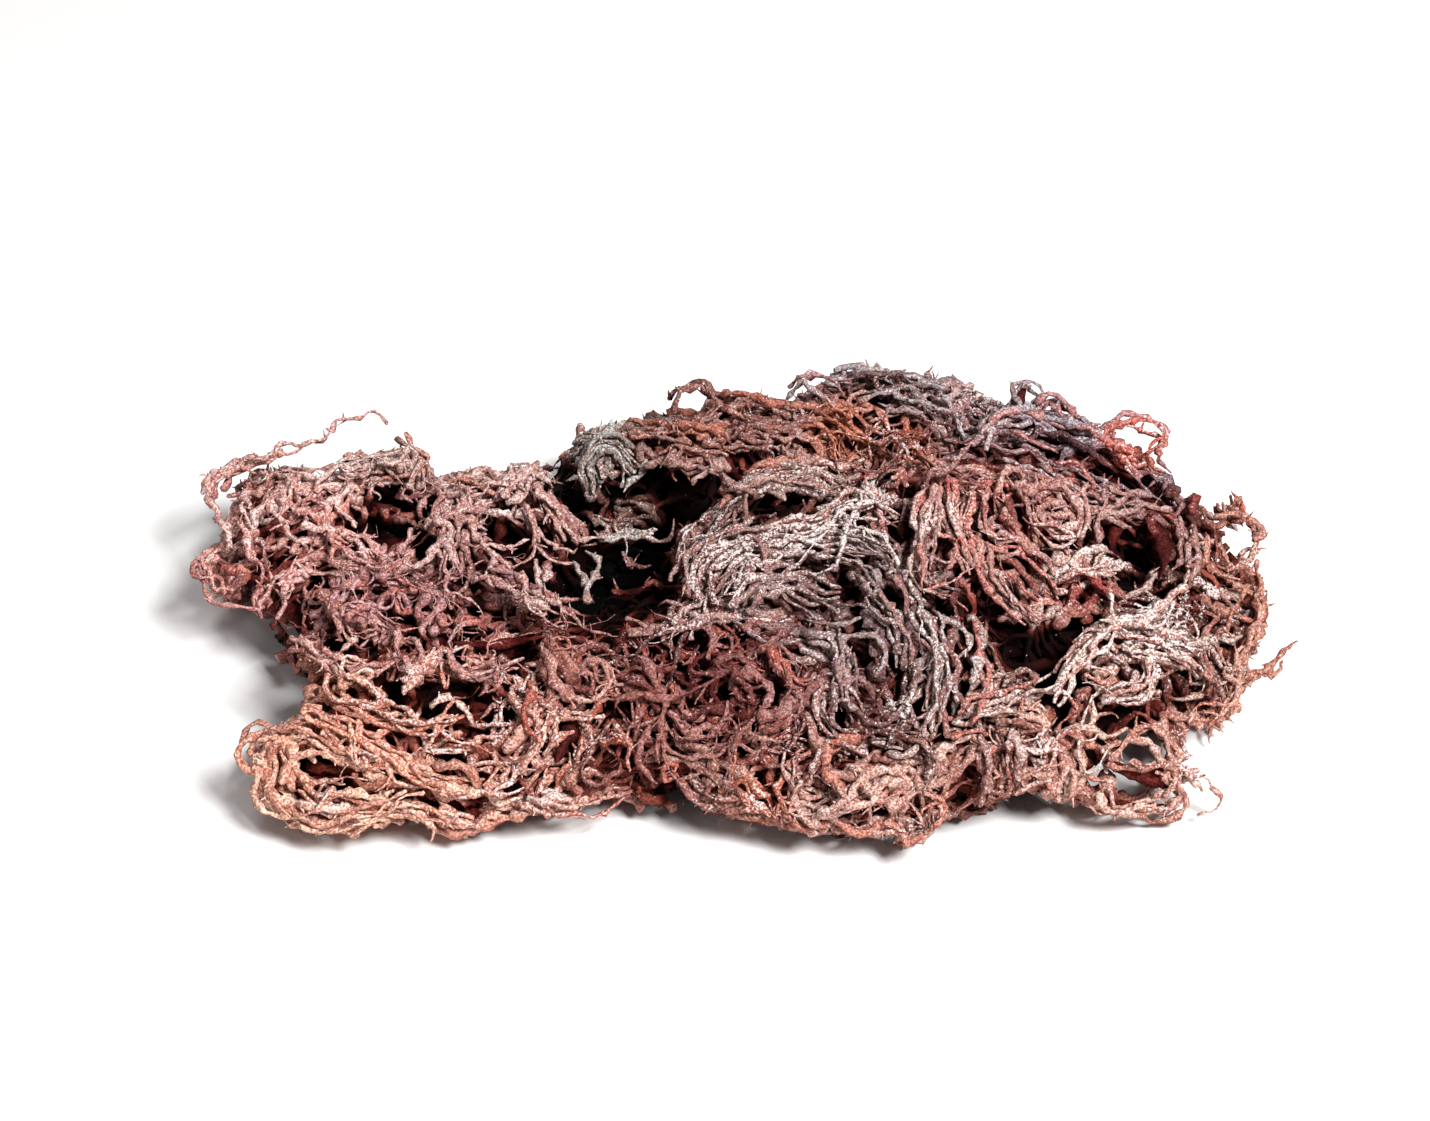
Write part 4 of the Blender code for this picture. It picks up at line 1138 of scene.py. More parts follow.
def tapered(rng, counts, width, base, end=0.45, knob=0.25):
    """Radii for padded fronds: knobbly, and thinning toward the tips."""
    rows = len(counts)
    stations = np.arange(width)
    share = np.clip(stations / (counts[:, None] - 1), 0, 1)
    radius = base[:, None] * (1 - (1 - end) * share**2.5)
    for length in KNOB_LENGTHS:
        radius = radius * (1 + knob * np.sin(stations * tau / length + rng.uniform(0, tau, (rows, 1))))
    return radius * (1 + knob * 0.8 * rng.normal(size=radius.shape).clip(-1.5, 1.5))


def in_rows(lines):
    """Lines of points as one array, filled up with zeros, and how many points each has."""
    counts = np.array([len(line) for line in lines])
    points = np.zeros((len(lines), counts.max(), 3))
    for row, line in enumerate(lines):
        points[row, : len(line)] = line
    return points, counts


def split(rng, leaders, many):
    """Several fronds that run beside each other, and round each other, in place of each leader."""
    tufts, lines, radii = [], [], []
    for (tuft, points, radius), strands in zip(leaders, many):
        dense = spaced(points, FINE_STRETCH)
        tangent = units(np.gradient(dense, axis=0))
        _, normal = skin_and_outward(dense)
        side = units(np.cross(tangent, normal) + 1e-6)
        up = np.cross(side, tangent)
        turn_at_start = rng.uniform(0, tau)
        length = np.arange(len(dense)) * FINE_STRETCH
        for number in range(strands):
            twist = turn_at_start + tau * number / strands
            angle = twist + length * rng.uniform(-0.02, 0.02) + rng.normal() * 0.3
            wave = np.sin(length * tau / rng.uniform(14, 30) + rng.uniform(0, tau))
            out = radius * SPLIT_SPREAD * (1 + 0.6 * wave) * (strands > 1)
            line = dense + side * (out * np.cos(angle))[:, None] * 1.25
            line = line + up * (out * np.sin(angle))[:, None] * 0.8
            fray = 0.1 if number == 0 else 0.4 - 0.6 * COMB[tuft]
            first = int(len(line) * rng.uniform(0, fray))
            last = len(line) - int(len(line) * rng.uniform(0, fray))
            line = line[first:last] if last - first > 4 else line
            line[:, 2] = np.maximum(line[:, 2], SPLIT_LOW)
            tufts.append(tuft)
            lines.append(line)
            radii.append(radius * SPLIT_SHARE * rng.uniform(0.8, 1.2))
    points, counts = in_rows(lines)
    return np.array(tufts), points, counts, np.array(radii)


def skin_spots(rng, density, lift):
    """Random places on the open skin of the tufts: tuft and point."""
    tufts, spots = [], []
    for index in range(len(TUFTS)):
        half = HALVES[index] + SKIN_DEPTH
        a, b, c = half
        area = 4 * pi * (((a * b) ** 1.6 + (a * c) ** 1.6 + (b * c) ** 1.6) / 3) ** (1 / 1.6)
        ball = units(rng.normal(size=(rng.poisson(area / 1000 * density), 3)))
        points = CENTRES[index] + (ball * (half + lift)) @ TURNS[index]
        nearest = core_distances(points).argmin(axis=1) == index
        keep = nearest & (points[:, 2] > GROWN_LOW)
        points = points[keep]
        points = points - outward(points) * squeeze(points)[:, None]
        tufts.append(np.full(keep.sum(), index))
        spots.append(points)
    return np.concatenate(tufts), np.concatenate(spots)


def tangent_heading(rng, spots):
    """A random direction along the skin at each place."""
    _, normal = skin_and_outward(spots)
    way = rng.normal(size=spots.shape)
    return units(way - normal * dots(way, normal))


def cut_at_pits(rng, points, counts, odds):
    """The fronds' counts, some cut where they would run into a dark place."""
    rows, width = points.shape[:2]
    flat = points.reshape(-1, 3)
    sunk = depth_of_pits(flat, skin_and_outward(flat)[1]).reshape(rows, width)
    sunk = (sunk > rng.uniform(0.3, 1.0, rows)[:, None]) & (rng.uniform(size=rows) < odds)[:, None]
    sunk[:, :3] = False
    sunk[:, -1] = True
    return np.minimum(counts, sunk.argmax(axis=1) + (sunk.argmax(axis=1) == width - 1))


def skin_layer(rng, layer, number, guides, relief):
    """One layer of fronds over the whole heap."""
    tuft, at = skin_spots(rng, layer.density, sum(layer.lift) / 2)
    _, normal = skin_and_outward(at)
    open_to_it = rng.uniform(size=len(at)) > depth_of_pits(at, normal) * 1.2 * (number > 0)
    tuft, at = tuft[open_to_it], at[open_to_it]
    rows = len(tuft)
    lift = rng.uniform(*layer.lift, rows)
    combed = COMB[tuft]
    heading = tangent_heading(rng, at)
    length = rng.uniform(*layer.length, rows) * (0.5 + 1.4 * combed)
    comb = combed * rng.uniform(0.4, 1.05, rows)
    wander = WANDER[tuft] * rng.uniform(0.8, 1.8, rows)
    curl = CURL[tuft] * rng.normal(size=rows) * (rng.uniform(size=rows) < 0.6) * 1.4
    rise = RISE[tuft] * rng.uniform(-0.2, 1.0, rows) * (number > 0)
    points, counts = grown(
        rng, tuft, at, heading, length, lift, comb, wander, curl, rise, layer.stretch, guides, relief
    )
    base = THICK[tuft] * layer.share * rng.lognormal(0, 0.32, rows)
    radius = tapered(rng, counts, points.shape[1], base)
    points = crooked(rng, points, layer.stretch, 0.46 - 0.38 * combed)
    counts = cut_back(rng, points, counts, SKIN_SLACK)
    counts = cut_at_pits(rng, points, counts, SKIN_STOPS * (number > 0))
    return batch(
        tuft, points, counts, radius, rng.uniform(0.55, 0.95, rows),
        SALT[tuft] * rng.uniform(0.4, 1.3, rows), rng.uniform(0, 1, rows), np.full(rows, number),
    )


def forked(rng, parents, kind, guides, relief):
    """Side branches on some of the parents' rings."""
    own = owners(parents)
    part = share_along(parents)
    tuft = parents.tuft[own]
    odds = kind.chance * FORKS[tuft] * (part > 0.12) * (part < 0.93)
    rings = np.flatnonzero(rng.uniform(size=len(own)) < odds)
    rings = rings[rings + 1 < len(own)]
    rings = rings[own[rings] == own[rings + 1]]
    at = parents.points[rings]
    ahead = units(parents.points[rings + 1] - at)
    _, normal = skin_and_outward(at)
    axis = units(normal + 0.5 * rng.normal(size=at.shape))
    side = rng.choice([-1.0, 1.0], len(rings))
    heading = spun(ahead, axis, side * rng.uniform(*kind.spread, len(rings)))
    tuft = tuft[rings]
    height, _ = skin_and_outward(at)
    length = rng.uniform(*kind.length, len(rings))
    lift = height - SWELL * swell(at, relief)
    curl = side * kind.curl * CURL[tuft] * rng.uniform(-0.6, 2.2, len(rings))
    rise = kind.rise * rng.uniform(0, 1, len(rings)) * (0.5 + RISE[tuft] / 4)
    points, counts = grown(
        rng, tuft, at, heading, length, lift, 0.3 * COMB[tuft], WANDER[tuft] * 1.3, curl, rise,
        kind.stretch, guides, relief,
    )
    base = parents.radius[rings] * rng.uniform(*kind.share, len(rings))
    radius = tapered(rng, counts, points.shape[1], base, 0.32)
    points[:, 1:] = crooked(rng, points, kind.stretch, 0.22)[:, 1:]
    counts = cut_back(rng, points, counts, FORK_SLACK)
    frond = own[rings]
    return batch(
        tuft, points, counts, radius, parents.flat[frond], parents.salt[frond],
        np.clip(parents.tone[frond] + rng.normal(size=len(rings)) * 0.12, 0, 1),
        np.full(len(rings), kind.kind),
    )


def spikes(rng, parents):
    """Short pointed stubs that stand off the fronds."""
    own = owners(parents)
    rings = np.flatnonzero(rng.uniform(size=len(own)) < STUB_CHANCE * (0.1 + FORKS[parents.tuft[own]]))
    at = parents.points[rings]
    _, normal = skin_and_outward(at)
    way = units(normal * rng.uniform(0.0, 1.2, (len(rings), 1)) + rng.normal(size=at.shape) * 0.8)
    stretch = rng.uniform(0.4, 1.3, len(rings))
    points = at[:, None, :] + way[:, None, :] * (stretch[:, None] * np.arange(4))[..., None]
    bend = rng.normal(size=at.shape) * 0.25
    points[:, 2] += bend * 0.5
    points[:, 3] += bend * 1.6
    points[..., 2] = np.maximum(points[..., 2], STUB_LOW)
    radius = np.minimum(parents.radius[rings], 0.75)[:, None] * np.array([0.8, 0.62, 0.45, 0.16])
    frond = own[rings]
    return batch(
        parents.tuft[frond], points, np.full(len(rings), 4), radius, np.full(len(rings), 0.9),
        parents.salt[frond], np.clip(parents.tone[frond] + 0.1, 0, 1), np.full(len(rings), STUB),
    )


def buried(points, fronds):
    """How much moss lies over each point, from 0 in the open to about 1 under several fronds."""
    cell, margin = 2.5, 20
    low = fronds.points.min(axis=0) - margin
    size = np.ceil((fronds.points.max(axis=0) + margin - low) / cell).astype(int)
    at = ((fronds.points - low) / cell).astype(int)
    amount = np.zeros(size)
    np.add.at(amount, tuple(at.T), fronds.radius**2)
    _, normal = skin_and_outward(points)
    up = units(normal + np.array([0, 0, 0.8]))
    over = np.zeros(len(points))
    for reach, weight in COVERS:
        spot = ((points + up * reach - low) / cell).astype(int)
        over += amount[tuple(spot.T)] * weight
    return 1 - np.exp(-over / 9.0)


def blades(rng):
    """The smooth flat blades."""
    tufts = [NAMES.index(name) for name, _, _ in BLADES]
    points, counts = in_rows([spaced(traced(way, BLADE_LIFT), FINE_STRETCH) for _, way, _ in BLADES])
    share = np.clip(np.arange(counts.max()) / (counts[:, None] - 1), 0, 1)
    radius = np.array([half for _, _, half in BLADES])[:, None] * (0.15 + 0.85 * np.sin(share * pi) ** 0.8)
    radius = radius * (1 + 0.2 * rng.normal(size=radius.shape).clip(-1.5, 1.5))
    rows = len(tufts)
    return batch(
        np.array(tufts), points, counts, radius, np.full(rows, 0.16), np.full(rows, 0.2),
        rng.uniform(0, 1, rows), np.full(rows, BLADE),
    )


def without_hidden(fronds):
    """The fronds without those that lie wholly under others."""
    open_air = 1 - buried(fronds.points, fronds)
    shown = np.maximum.reduceat(open_air, fronds.start)
    return chosen(fronds, (shown > HIDDEN) | np.isin(fronds.layer, (STEM, BLADE, TRACED)))


def shares_of_tufts(fronds):
    """How much of each tuft's colours a ring takes: half from its own tuft, half from those close by."""
    tuft = fronds.tuft[owners(fronds)]
    distances = core_distances(fronds.points)
    shares = np.exp((distances.min(axis=1, keepdims=True) - distances) / COLOUR_REACH)
    shares = 0.5 * shares / shares.sum(axis=1, keepdims=True)
    shares[np.arange(len(tuft)), tuft] += 0.5
    return shares


def open_colours(rng, fronds, shares, normal, tone_waves):
    """The colour that each ring has in the open, before the shade between the fronds."""
    own = owners(fronds)
    points = fronds.points
    tone = fronds.tone[own] + 0.16 * swell(points, tone_waves) + 0.12 * (share_along(fronds) - 0.5)
    tone = np.clip(tone, 0, 1)[:, None]
    colour = (shares @ BODY) * (1 - tone) + (shares @ LIGHT) * tone
    colour = colour * (0.5 + 0.5 * np.clip(tone / 0.4, 0, 1))
    odd = (rng.uniform(size=len(fronds.count)) < 0.16)[own][:, None]
    colour = np.where(odd, 0.55 * colour + 0.45 * ODD[fronds.tuft[own]], colour)
    shown = 0.75 * np.clip(1 - 2 * (normal @ SIGHT_FORWARD), 0, 1)
    for x, y, reach, accent in ACCENTS:
        share = (shown * within(in_picture(points), [(x, y, reach)], 1.4))[:, None]
        colour = colour * (1 - share) + linear([accent]) * (0.5 + 0.7 * tone) * share
    return np.where((fronds.layer == BLADE)[own][:, None], BLADE_COLOUR * (0.7 + 0.6 * tone), colour)


def shading(fronds, height, normal):
    """How light each ring is painted, with painted shade where it lies low, under other moss and in a dark
    place, and how much a dark place darkens it, as columns.
    """
    points = fronds.points
    bridging = (fronds.layer == TRACED)[owners(fronds)]
    fade = (np.where(bridging, 0.2, PIT_FADE) - height) / PIT_FADE
    dark = depth_of_pits(points, normal) * np.clip(fade, 0, 1)
    pressed = squeeze(points - normal * height[:, None])
    # Painted shade: rings that lie lower under the skin, and under more moss, are darker
    shade = np.clip((height + pressed + 5.5) / 6.5, 0.0, 1.0) * (1 - 0.66 * buried(points, fronds))
    # Painted shade: rings in the dark places go nearly black
    shade = np.clip(shade * 1.3 * (1 - 0.985 * dark**0.7), 0.01, 1)
    return shade[:, None], dark[:, None]


def ring_salt(fronds, shade, crust_waves):
    """The share of salt on each ring, thinned by the painted shade, so that the white salt shows mostly on
    lit fronds as a painted highlight.
    """
    own = owners(fronds)
    points = fronds.points
    crust = np.clip(swell(points, crust_waves) - 0.75, 0, 1) * 0.8
    crust = np.maximum(crust, within(in_picture(points), CRUSTS, 1.0))
    # Real salt and crusts, dimmed with the painted shade, so that their white is partly painted highlight
    salt = np.clip(fronds.salt[own] * 0.85 + 0.16 + crust * 0.55, 0, 1.2) * shade[:, 0] ** 0.7
    return np.where((fronds.layer == BLADE)[own], salt * 0.15, salt)


def ring_colours(rng, fronds, tone_waves, crust_waves):
    """The colour of each ring, with its painted shade, and the share of salt on it."""
    height, normal = skin_and_outward(fronds.points)
    shares = shares_of_tufts(fronds)
    colour = open_colours(rng, fronds, shares, normal, tone_waves)
    shade, dark = shading(fronds, height, normal)
    # Painted shade: the deep shade colour fills in where a ring is shaded, and its own colour is dimmed,
    # green and blue most
    between = (shares @ DEEP_SHADE) * (1 - shade) * 0.8 * (1 - 0.95 * dark)
    colour = between + colour * shade**SHADE_POWERS
    # Painted shade: the fronds of the hollow's bed are darkened further
    in_shaded_hollow = (fronds.tuft[owners(fronds)] == SHADED_HOLLOW)[:, None]
    return np.where(in_shaded_hollow, colour * 0.4, colour), ring_salt(fronds, shade, crust_waves)


def tubes(rng, fronds, sides, colour, salt):
    """Closed tubes along the fronds: vertices, quads, triangles and their colours with salt, darker on the
    undersides as painted shade.
    """
    own = owners(fronds)
    rings = np.arange(len(own))
    last = fronds.start + fronds.count - 1
    before = np.where(rings == fronds.start[own], rings, rings - 1)
    after = np.where(rings == last[own], rings, rings + 1)
    tangent = units(fronds.points[after] - fronds.points[before])
    _, outwards = skin_and_outward(fronds.points[fronds.start])
    side = np.zeros_like(tangent)
    side[fronds.start] = units(np.cross(tangent[fronds.start], outwards) + 1e-5)
    for station in range(1, fronds.count.max()):
        here = fronds.start[fronds.count > station] + station
        carried = side[here - 1]
        side[here] = units(carried - tangent[here] * dots(carried, tangent[here]))
    up = np.cross(tangent, side)
    angle = np.arange(sides) * tau / sides
    frond_turn = rng.uniform(-0.5, 0.5, len(fronds.count))[own]
    frond_twist = (rng.normal(size=len(fronds.count)) * 0.12)[own] * (rings - fronds.start[own])
    roll = (frond_turn + frond_twist)[:, None]
    wide = np.cos(angle) * (1 + (1 - fronds.flat[own][:, None]) * 0.35)
    high = np.sin(angle) * fronds.flat[own][:, None]
    across = wide * np.cos(roll) - high * np.sin(roll)
    upward = wide * np.sin(roll) + high * np.cos(roll)
    rough = np.where(fronds.flat[own] < 0.3, 0.03, 0.16)[:, None]
    reach = fronds.radius[:, None] * (1 + rough * rng.normal(size=(len(own), sides)).clip(-1.6, 1.6))
    offset = (side[:, None] * across[..., None] + up[:, None] * upward[..., None]) * reach[..., None]
    body = fronds.points[:, None] + offset
    body[..., 2] = np.maximum(body[..., 2], SURFACE_LOW)
    ends = np.concatenate([fronds.start, last])
    beyond = np.repeat([-0.5, 0.7], len(last))[:, None]
    tips = fronds.points[ends] + tangent[ends] * fronds.radius[ends][:, None] * beyond
    tips[:, 2] = np.maximum(tips[:, 2], SURFACE_LOW)
    facing = units(offset)[..., 2]
    # Painted shade: the undersides of the fronds are darker
    lit = 1 - (1 - facing)[..., None] * UNDERSIDE_SHADE
    # Salt lies thicker on the upper side of each frond, partly where it settles and partly as painted
    # highlight
    body_colour = np.concatenate(
        [colour[:, None] * lit, (salt[:, None] * np.clip(0.55 + 0.45 * facing, 0, 1))[..., None]], axis=2
    )
    tip_colour = np.hstack([colour, salt[:, None] * 0.8])[ends]
    vertices = np.vstack([body.reshape(-1, 3), tips])
    colours = np.vstack([body_colour.reshape(-1, 4), tip_colour])
    go_on = np.flatnonzero(rings != last[own])
    this, following = np.arange(sides), (np.arange(sides) + 1) % sides
    low, high_ring = go_on[:, None] * sides, (go_on[:, None] + 1) * sides
    quads = np.stack([low + this, low + following, high_ring + following, high_ring + this], axis=2)
    quads = quads.reshape(-1, 4)
    first = np.arange(len(fronds.start))[:, None] + len(own) * sides
    final = first + len(fronds.start)
    start, end = fronds.start[:, None] * sides, last[:, None] * sides
    fan_in = np.stack([np.broadcast_to(first, (len(first), sides)), start + following, start + this], axis=2)
    fan_out = np.stack([np.broadcast_to(final, (len(final), sides)), end + this, end + following], axis=2)
    triangles = np.vstack([fan_in.reshape(-1, 3), fan_out.reshape(-1, 3)])
    return vertices, quads, triangles, colours


def chosen(fronds, keep):
    """Only the fronds that keep says, as a new batch."""
    own = owners(fronds)
    rings = keep[own]
    counts = fronds.count[keep]
    start = np.concatenate([[0], np.cumsum(counts)[:-1]]).astype(int)
    fields = {name: getattr(fronds, name)[keep] for name in ("tuft", "flat", "salt", "tone", "layer")}
    return Fronds(
        points=fronds.points[rings], radius=fronds.radius[rings], start=start, count=counts, **fields
    )


def dark_core(index):
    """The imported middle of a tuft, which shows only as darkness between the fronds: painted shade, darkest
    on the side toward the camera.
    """
    shape = bmesh.new()
    bmesh.ops.create_icosphere(shape, subdivisions=3, radius=1)
    ball = np.array([vert.co for vert in shape.verts])
    faces = np.array([[vert.index for vert in face.verts] for face in shape.faces])
    shape.free()
    points = CENTRES[index] + (ball * (HALVES[index] - CORE_SHRINK)) @ TURNS[index]
    rough = np.array([
        noise.noise(Vector(point / 3.1)) + 0.8 * noise.noise(Vector(point / 7.3)) for point in points
    ])
    points = points + units(points - CENTRES[index]) * (CORE_ROUGHNESS * rough - 1.4)[:, None]
    for _ in range(8):
        away = np.clip((outside(points) + CORE_INSET) * PIXEL, 0, 1.2)
        points = points - units(points - CENTRES[index]) * away[:, None]
    points[:, 2] = np.maximum(points[:, 2], CORE_LOW)
    # Painted shade: the core takes the tuft's shade colour, lighter on its side away from the camera
    far = np.clip(units(points - CENTRES[index]) @ SIGHT_FORWARD, 0, 1)[:, None]
    colours = np.hstack([DEEP_SHADE[index] * (0.12 + 0.6 * far), np.zeros((len(points), 1))])
    return points, np.zeros((0, 4), int), faces, colours


def mesh_object(name, parts):
    """One object from several lots of vertices, quads, triangles and colours."""
    offset = np.cumsum([0] + [len(part[0]) for part in parts[:-1]])
    vertices = np.vstack([part[0] for part in parts])
    quads = np.vstack([part[1] + shift for part, shift in zip(parts, offset)])
    triangles = np.vstack([part[2] + shift for part, shift in zip(parts, offset)])
    colours = np.vstack([part[3] for part in parts])
    mesh = bpy.data.meshes.new(name)
    mesh.vertices.add(len(vertices))
    mesh.vertices.foreach_set("co", ((vertices - HEAP_MIDDLE) * MM).astype(np.float32).ravel())
    corners = np.concatenate([quads.ravel(), triangles.ravel()]).astype(np.int32)
    totals = np.concatenate([np.full(len(quads), 4), np.full(len(triangles), 3)]).astype(np.int32)
    mesh.loops.add(len(corners))
    mesh.loops.foreach_set("vertex_index", corners)
    mesh.polygons.add(len(totals))
    mesh.polygons.foreach_set("loop_start", np.concatenate([[0], np.cumsum(totals)[:-1]]).astype(np.int32))
    mesh.polygons.foreach_set("use_smooth", np.ones(len(totals), bool))
    mesh.update(calc_edges=True)
    mesh.validate()
    # The colours carry the painted shade, and the alpha the salt share, which is thinned by the painted shade
    shaded_tint = mesh.color_attributes.new("shaded_tint", "FLOAT_COLOR", "POINT")
    shaded_tint.data.foreach_set("color", np.clip(colours, 0, 1).astype(np.float32).ravel())
    piece = bpy.data.objects.new(name, mesh)
    bpy.context.scene.collection.objects.link(piece)
    return piece


# What the dents (for the painted shade in them), the mottles and the warm patches of the surface are
# multiplied by, and the salt's colour
DENT_SHADE_TINT = (0.62, 0.40, 0.36)
MOTTLE_TINT = (0.62, 0.42, 0.40)
WARM_TINT = (1.0, 0.80, 0.66)
SALT_COLOUR = (0.78, 0.69, 0.66)


def moss_material(tuft):
    """A tuft's dry surface: its fronds' colours with their painted shade, speckled partly as painted shade in
    the dents and painted highlight on the raised grains, mottled, with grains of salt and dents.
    """
    material = bpy.data.materials.new(tuft.name)
    material.use_nodes = True
    tree = material.node_tree
    surface = tree.nodes["Principled BSDF"]
    surface.inputs["Specular IOR Level"].default_value = 0.07

    def add(kind, **settings):
        node = tree.nodes.new(kind)
        for key, value in settings.items():
            setattr(node, key, value)
        return node

    def link(source, target):
        tree.links.new(source, target)

    def texture(scale, detail, rough):
        node = add("ShaderNodeTexNoise")
        node.inputs["Scale"].default_value = scale
        node.inputs["Detail"].default_value = detail
        node.inputs["Roughness"].default_value = rough
        link(place.outputs["Object"], node.inputs["Vector"])
        return node.outputs["Fac"]

    def ranged(value, low, high, to_low, to_high):
        node = add("ShaderNodeMapRange")
        node.inputs["From Min"].default_value = low
        node.inputs["From Max"].default_value = high
        node.inputs["To Min"].default_value = to_low
        node.inputs["To Max"].default_value = to_high
        link(value, node.inputs["Value"])
        return node.outputs["Result"]

    def maths(operation, first, second):
        node = add("ShaderNodeMath", operation=operation)
        for socket, value in zip(node.inputs, (first, second)):
            if isinstance(value, (int, float)):
                socket.default_value = value
            else:
                link(value, socket)
        return node.outputs["Value"]

    def mixed(factor, first, second, kind="MIX"):
        node = add("ShaderNodeMix", data_type="RGBA", blend_type=kind)
        for socket, value in ((node.inputs[0], factor), (node.inputs[6], first), (node.inputs[7], second)):
            if isinstance(value, float):
                socket.default_value = value
            elif isinstance(value, tuple):
                socket.default_value = (*value, 1)
            else:
                link(value, socket)
        return node.outputs[2]

    place = add("ShaderNodeTexCoord")
    shaded_tint = add("ShaderNodeAttribute", attribute_name="shaded_tint")
    mottle = texture(420, 3, 0.6)
    grain = texture(1500, 2, 0.7)
    patch = texture(160, 2, 0.5)
    # Speckle: darker in the dents of the bump and lighter on its raised grains, partly painted shade and
    # highlight
    raised = add("ShaderNodeVectorMath", operation="SCALE")
    link(shaded_tint.outputs["Color"], raised.inputs[0])
    raised.inputs["Scale"].default_value = 1.4
    dents = mixed(1.0, shaded_tint.outputs["Color"], DENT_SHADE_TINT, "MULTIPLY")
    speckled = mixed(ranged(grain, 0.43, 0.57, 0.0, 1.0), dents, raised.outputs["Vector"])
    darker = mixed(ranged(mottle, 0.42, 0.66, 0.0, 0.7), speckled, MOTTLE_TINT, "MULTIPLY")
    warm = mixed(ranged(patch, 0.45, 0.7, 0.0, 0.45), darker, WARM_TINT, "MULTIPLY")
    threshold = maths("MULTIPLY_ADD", shaded_tint.outputs["Alpha"], -0.34)
    threshold.node.inputs[2].default_value = 0.985
    clustered = maths("ADD", grain, maths("MULTIPLY", mottle, 0.45))
    grains = ranged(maths("SUBTRACT", clustered, threshold), 0.0, 0.08, 0.0, 0.75)
    salted = mixed(grains, warm, SALT_COLOUR)
    link(salted, surface.inputs["Base Color"])
    link(ranged(grain, 0.3, 0.7, 0.66, 0.92), surface.inputs["Roughness"])
    bump = add("ShaderNodeBump")
    bump.inputs["Strength"].default_value = 0.55
    bump.inputs["Distance"].default_value = 0.0007
    link(maths("ADD", grain, maths("MULTIPLY", mottle, 0.9)), bump.inputs["Height"])
    link(bump.outputs["Normal"], surface.inputs["Normal"])
    return material


def plain_material(name, colour, roughness):
    """A surface of one colour."""
    material = bpy.data.materials.new(name)
    material.use_nodes = True
    surface = material.node_tree.nodes["Principled BSDF"]
    surface.inputs["Base Color"].default_value = (*colour, 1)
    surface.inputs["Roughness"].default_value = roughness
    return material


FLOOR_REACH = 6
FLOOR_COLOUR = (0.86, 0.85, 0.84)
FLOOR_ROUGHNESS = 0.9
WORLD_STRENGTH = 0.12

# The lamps, which aim at the heap: power, size and place
LAMPS = (
    ("key", 38, 0.36, (0.55, -0.75, 1.15)),
    ("fill", 2.0, 1.0, (-1.1, -0.7, 0.9)),
    ("back", 6, 0.5, (-0.2, 1.1, 1.0)),
)


def add_stage():
    """A wide pale floor, a key light from the right and front, a fill, a back light and a dim white world."""
    shape = bmesh.new()
    bmesh.ops.create_grid(shape, x_segments=1, y_segments=1, size=FLOOR_REACH)
    mesh = bpy.data.meshes.new("floor")
    shape.to_mesh(mesh)
    shape.free()
    floor = bpy.data.objects.new("floor", mesh)
    mesh.materials.append(plain_material("floor", FLOOR_COLOUR, FLOOR_ROUGHNESS))
    bpy.context.scene.collection.objects.link(floor)
    for name, power, size, spot in LAMPS:
        lamp = bpy.data.lights.new(name, "AREA")
        lamp.energy, lamp.size = power, size
        light = bpy.data.objects.new(name, lamp)
        light.location = spot
        light.rotation_euler = (-Vector(spot)).to_track_quat("-Z", "Y").to_euler()
        bpy.context.scene.collection.objects.link(light)
    world = bpy.data.worlds.new("studio")
    bpy.context.scene.world = world
    world.use_nodes = True
    background = world.node_tree.nodes["Background"]
    background.inputs["Color"].default_value = (1, 1, 1, 1)
    background.inputs["Strength"].default_value = WORLD_STRENGTH


PHOTO_WIDTH, PHOTO_HEIGHT = 1430, 1121
SENSOR_WIDTH = 36


def add_camera():
    """The camera, where the photograph's was."""
    lens = bpy.data.cameras.new("camera")
    lens.sensor_width = SENSOR_WIDTH
    lens.lens = SENSOR_WIDTH * SIGHT_DISTANCE / (PHOTO_WIDTH * PIXEL)
    lens.shift_x = (PHOTO_WIDTH / 2 - PICTURE_MIDDLE[0]) / PHOTO_WIDTH
    lens.shift_y = (PICTURE_MIDDLE[1] - PHOTO_HEIGHT / 2) / PHOTO_WIDTH
    camera = bpy.data.objects.new("camera", lens)
    camera.location = (EYE - HEAP_MIDDLE) * MM
    camera.rotation_euler = (pi / 2 - SIGHT_TILT, 0, 0)
    bpy.context.scene.collection.objects.link(camera)
    bpy.context.scene.camera = camera
    bpy.context.scene.view_settings.view_transform = "Standard"


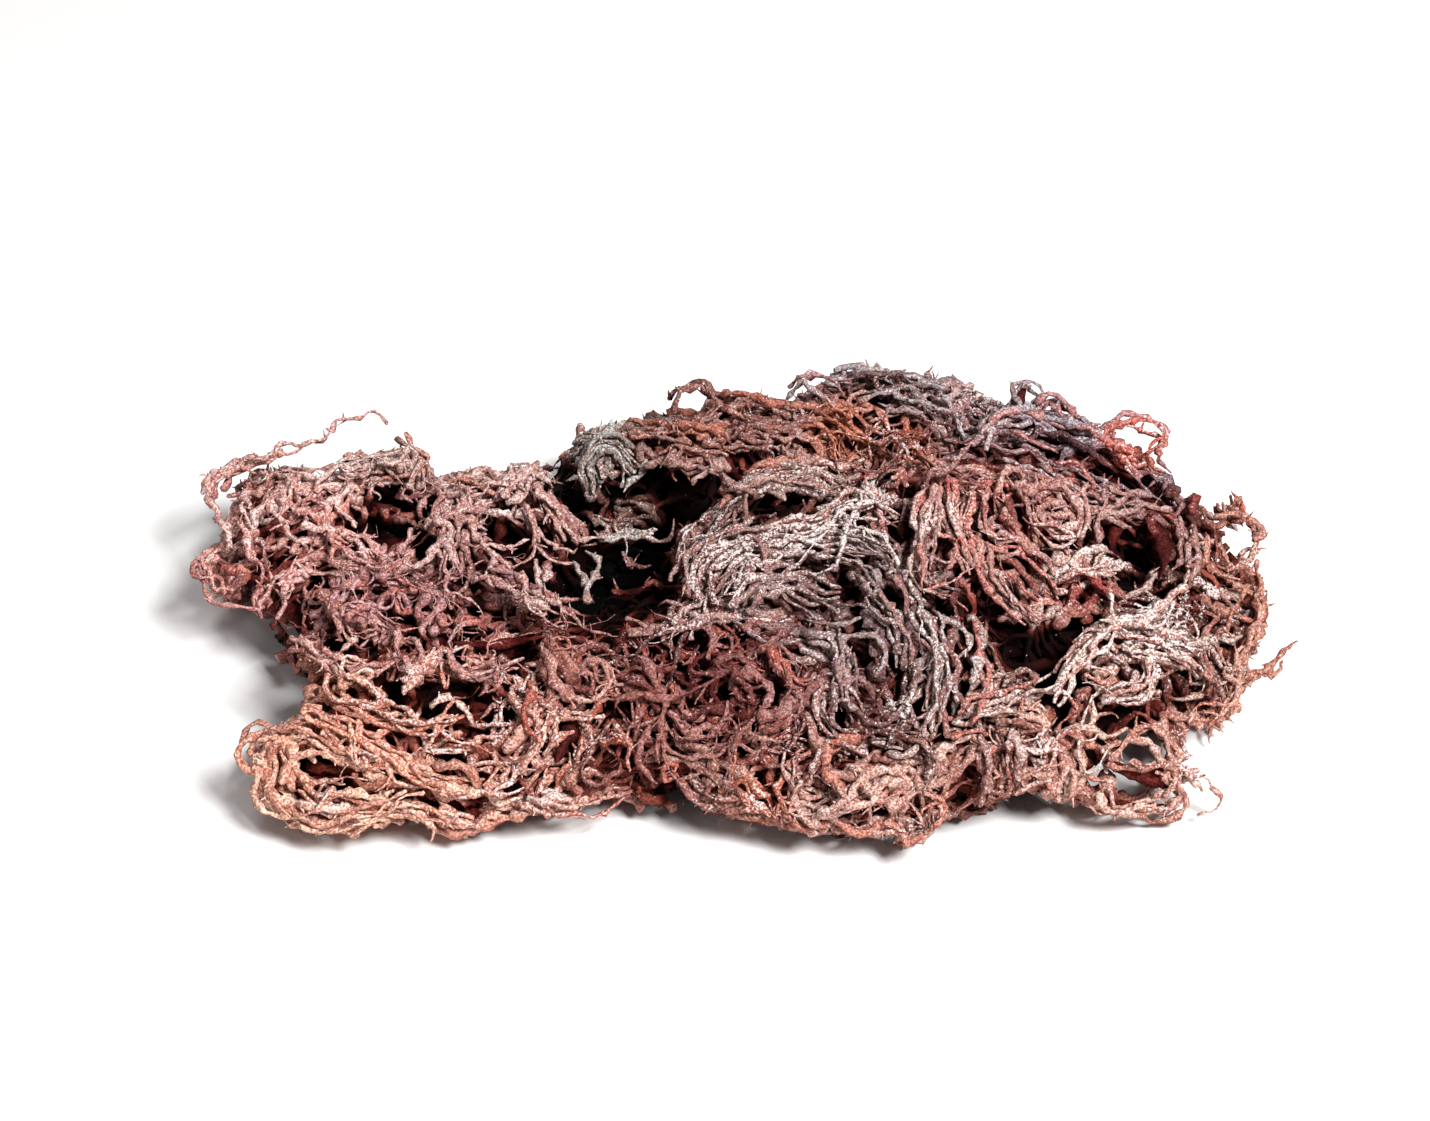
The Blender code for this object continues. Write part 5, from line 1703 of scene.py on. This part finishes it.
def stem_fronds(rng, strands, traces):
    """The fronds that the main strands are split into, and those that the picture shows."""
    strands = [strand for strand in strands if len(strand.points) > 3]
    finer = traced_all(FINER_GUIDES, FINER_LIFT)
    leaders = [(strand.tuft, strand.points[1:], strand.radii.max()) for strand in strands]
    many = [5 if radius > 3 else 3 if radius > 2 else 1 for _, _, radius in leaders]
    leaders += [(tuft, points, STEM_RADIUS * TRACED_SHARE) for tuft, points in traces]
    many += [2 if COMB[tuft] < 0.3 else 3 for tuft, _ in traces]
    leaders += [(tuft, points, STEM_RADIUS * FINER_SHARE) for tuft, points in finer]
    many += [1] * len(finer)
    tuft, points, counts, base = split(rng, leaders, many)
    outermost = np.repeat(np.arange(len(leaders)) >= len(strands), many)
    points = crooked(rng, points, FINE_STRETCH, 0.42 - 0.5 * COMB[tuft])
    rows = len(tuft)
    short = cut_at_pits(rng, points, cut_back(rng, points, counts, STEM_SLACK), STEM_STOPS)
    return batch(
        tuft, points, np.where(outermost, counts, short),
        tapered(rng, counts, points.shape[1], base),
        rng.uniform(0.6, 0.95, rows), SALT[tuft] * rng.uniform(0.5, 1.3, rows),
        rng.uniform(0.2, 1, rows), np.where(outermost, TRACED, STEM),
    )


def grow_fronds(rng):
    """Every fine frond of the heap that can be seen."""
    relief = waves(rng, *RELIEF_WAVES)
    traces = traced_all(GUIDES, STEM_RADIUS)
    guides = flow_guides(traces)
    main = stem_fronds(rng, grow_heap(traces), traces)
    layers = [skin_layer(rng, layer, number, guides, relief) for number, layer in enumerate(LAYERS)]
    carriers = joined([main, *layers[1:]])
    forks = forked(rng, carriers, WIDE_FORKS, guides, relief)
    small = forked(rng, joined([forks, main]), SHORT_FORKS, guides, relief)
    stubs = spikes(rng, joined([carriers, forks]))
    return without_hidden(joined([main, *layers, forks, small, stubs, blades(rng)]))


def dress_heap():
    """Grows every frond and makes one piece of each tuft's."""
    rng = np.random.default_rng(DRAW)
    fronds = grow_fronds(rng)
    tone_waves, crust_waves = waves(rng, *TONE_WAVES), waves(rng, *CRUST_WAVES)
    colour, salt = ring_colours(rng, fronds, tone_waves, crust_waves)
    own = owners(fronds)
    sides = np.where(np.isin(fronds.layer, ROUNDER), 5, 4)
    for index, tuft in enumerate(TUFTS):
        parts = [dark_core(index)]
        for count in (4, 5):
            keep = (fronds.tuft == index) & (sides == count)
            rings = keep[own]
            parts.append(tubes(rng, chosen(fronds, keep), count, colour[rings], salt[rings]))
        piece = mesh_object(tuft.name + "_fronds", parts)
        piece.data.materials.append(moss_material(tuft))
        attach(piece, "root")
        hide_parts(tuft.name)


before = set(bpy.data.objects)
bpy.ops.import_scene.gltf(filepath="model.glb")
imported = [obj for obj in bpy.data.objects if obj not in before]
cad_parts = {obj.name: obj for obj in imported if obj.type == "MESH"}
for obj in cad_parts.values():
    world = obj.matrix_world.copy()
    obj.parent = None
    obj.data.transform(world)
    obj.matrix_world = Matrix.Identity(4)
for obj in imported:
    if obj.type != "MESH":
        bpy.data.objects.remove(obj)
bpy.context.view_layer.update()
dress_heap()
add_stage()
add_camera()
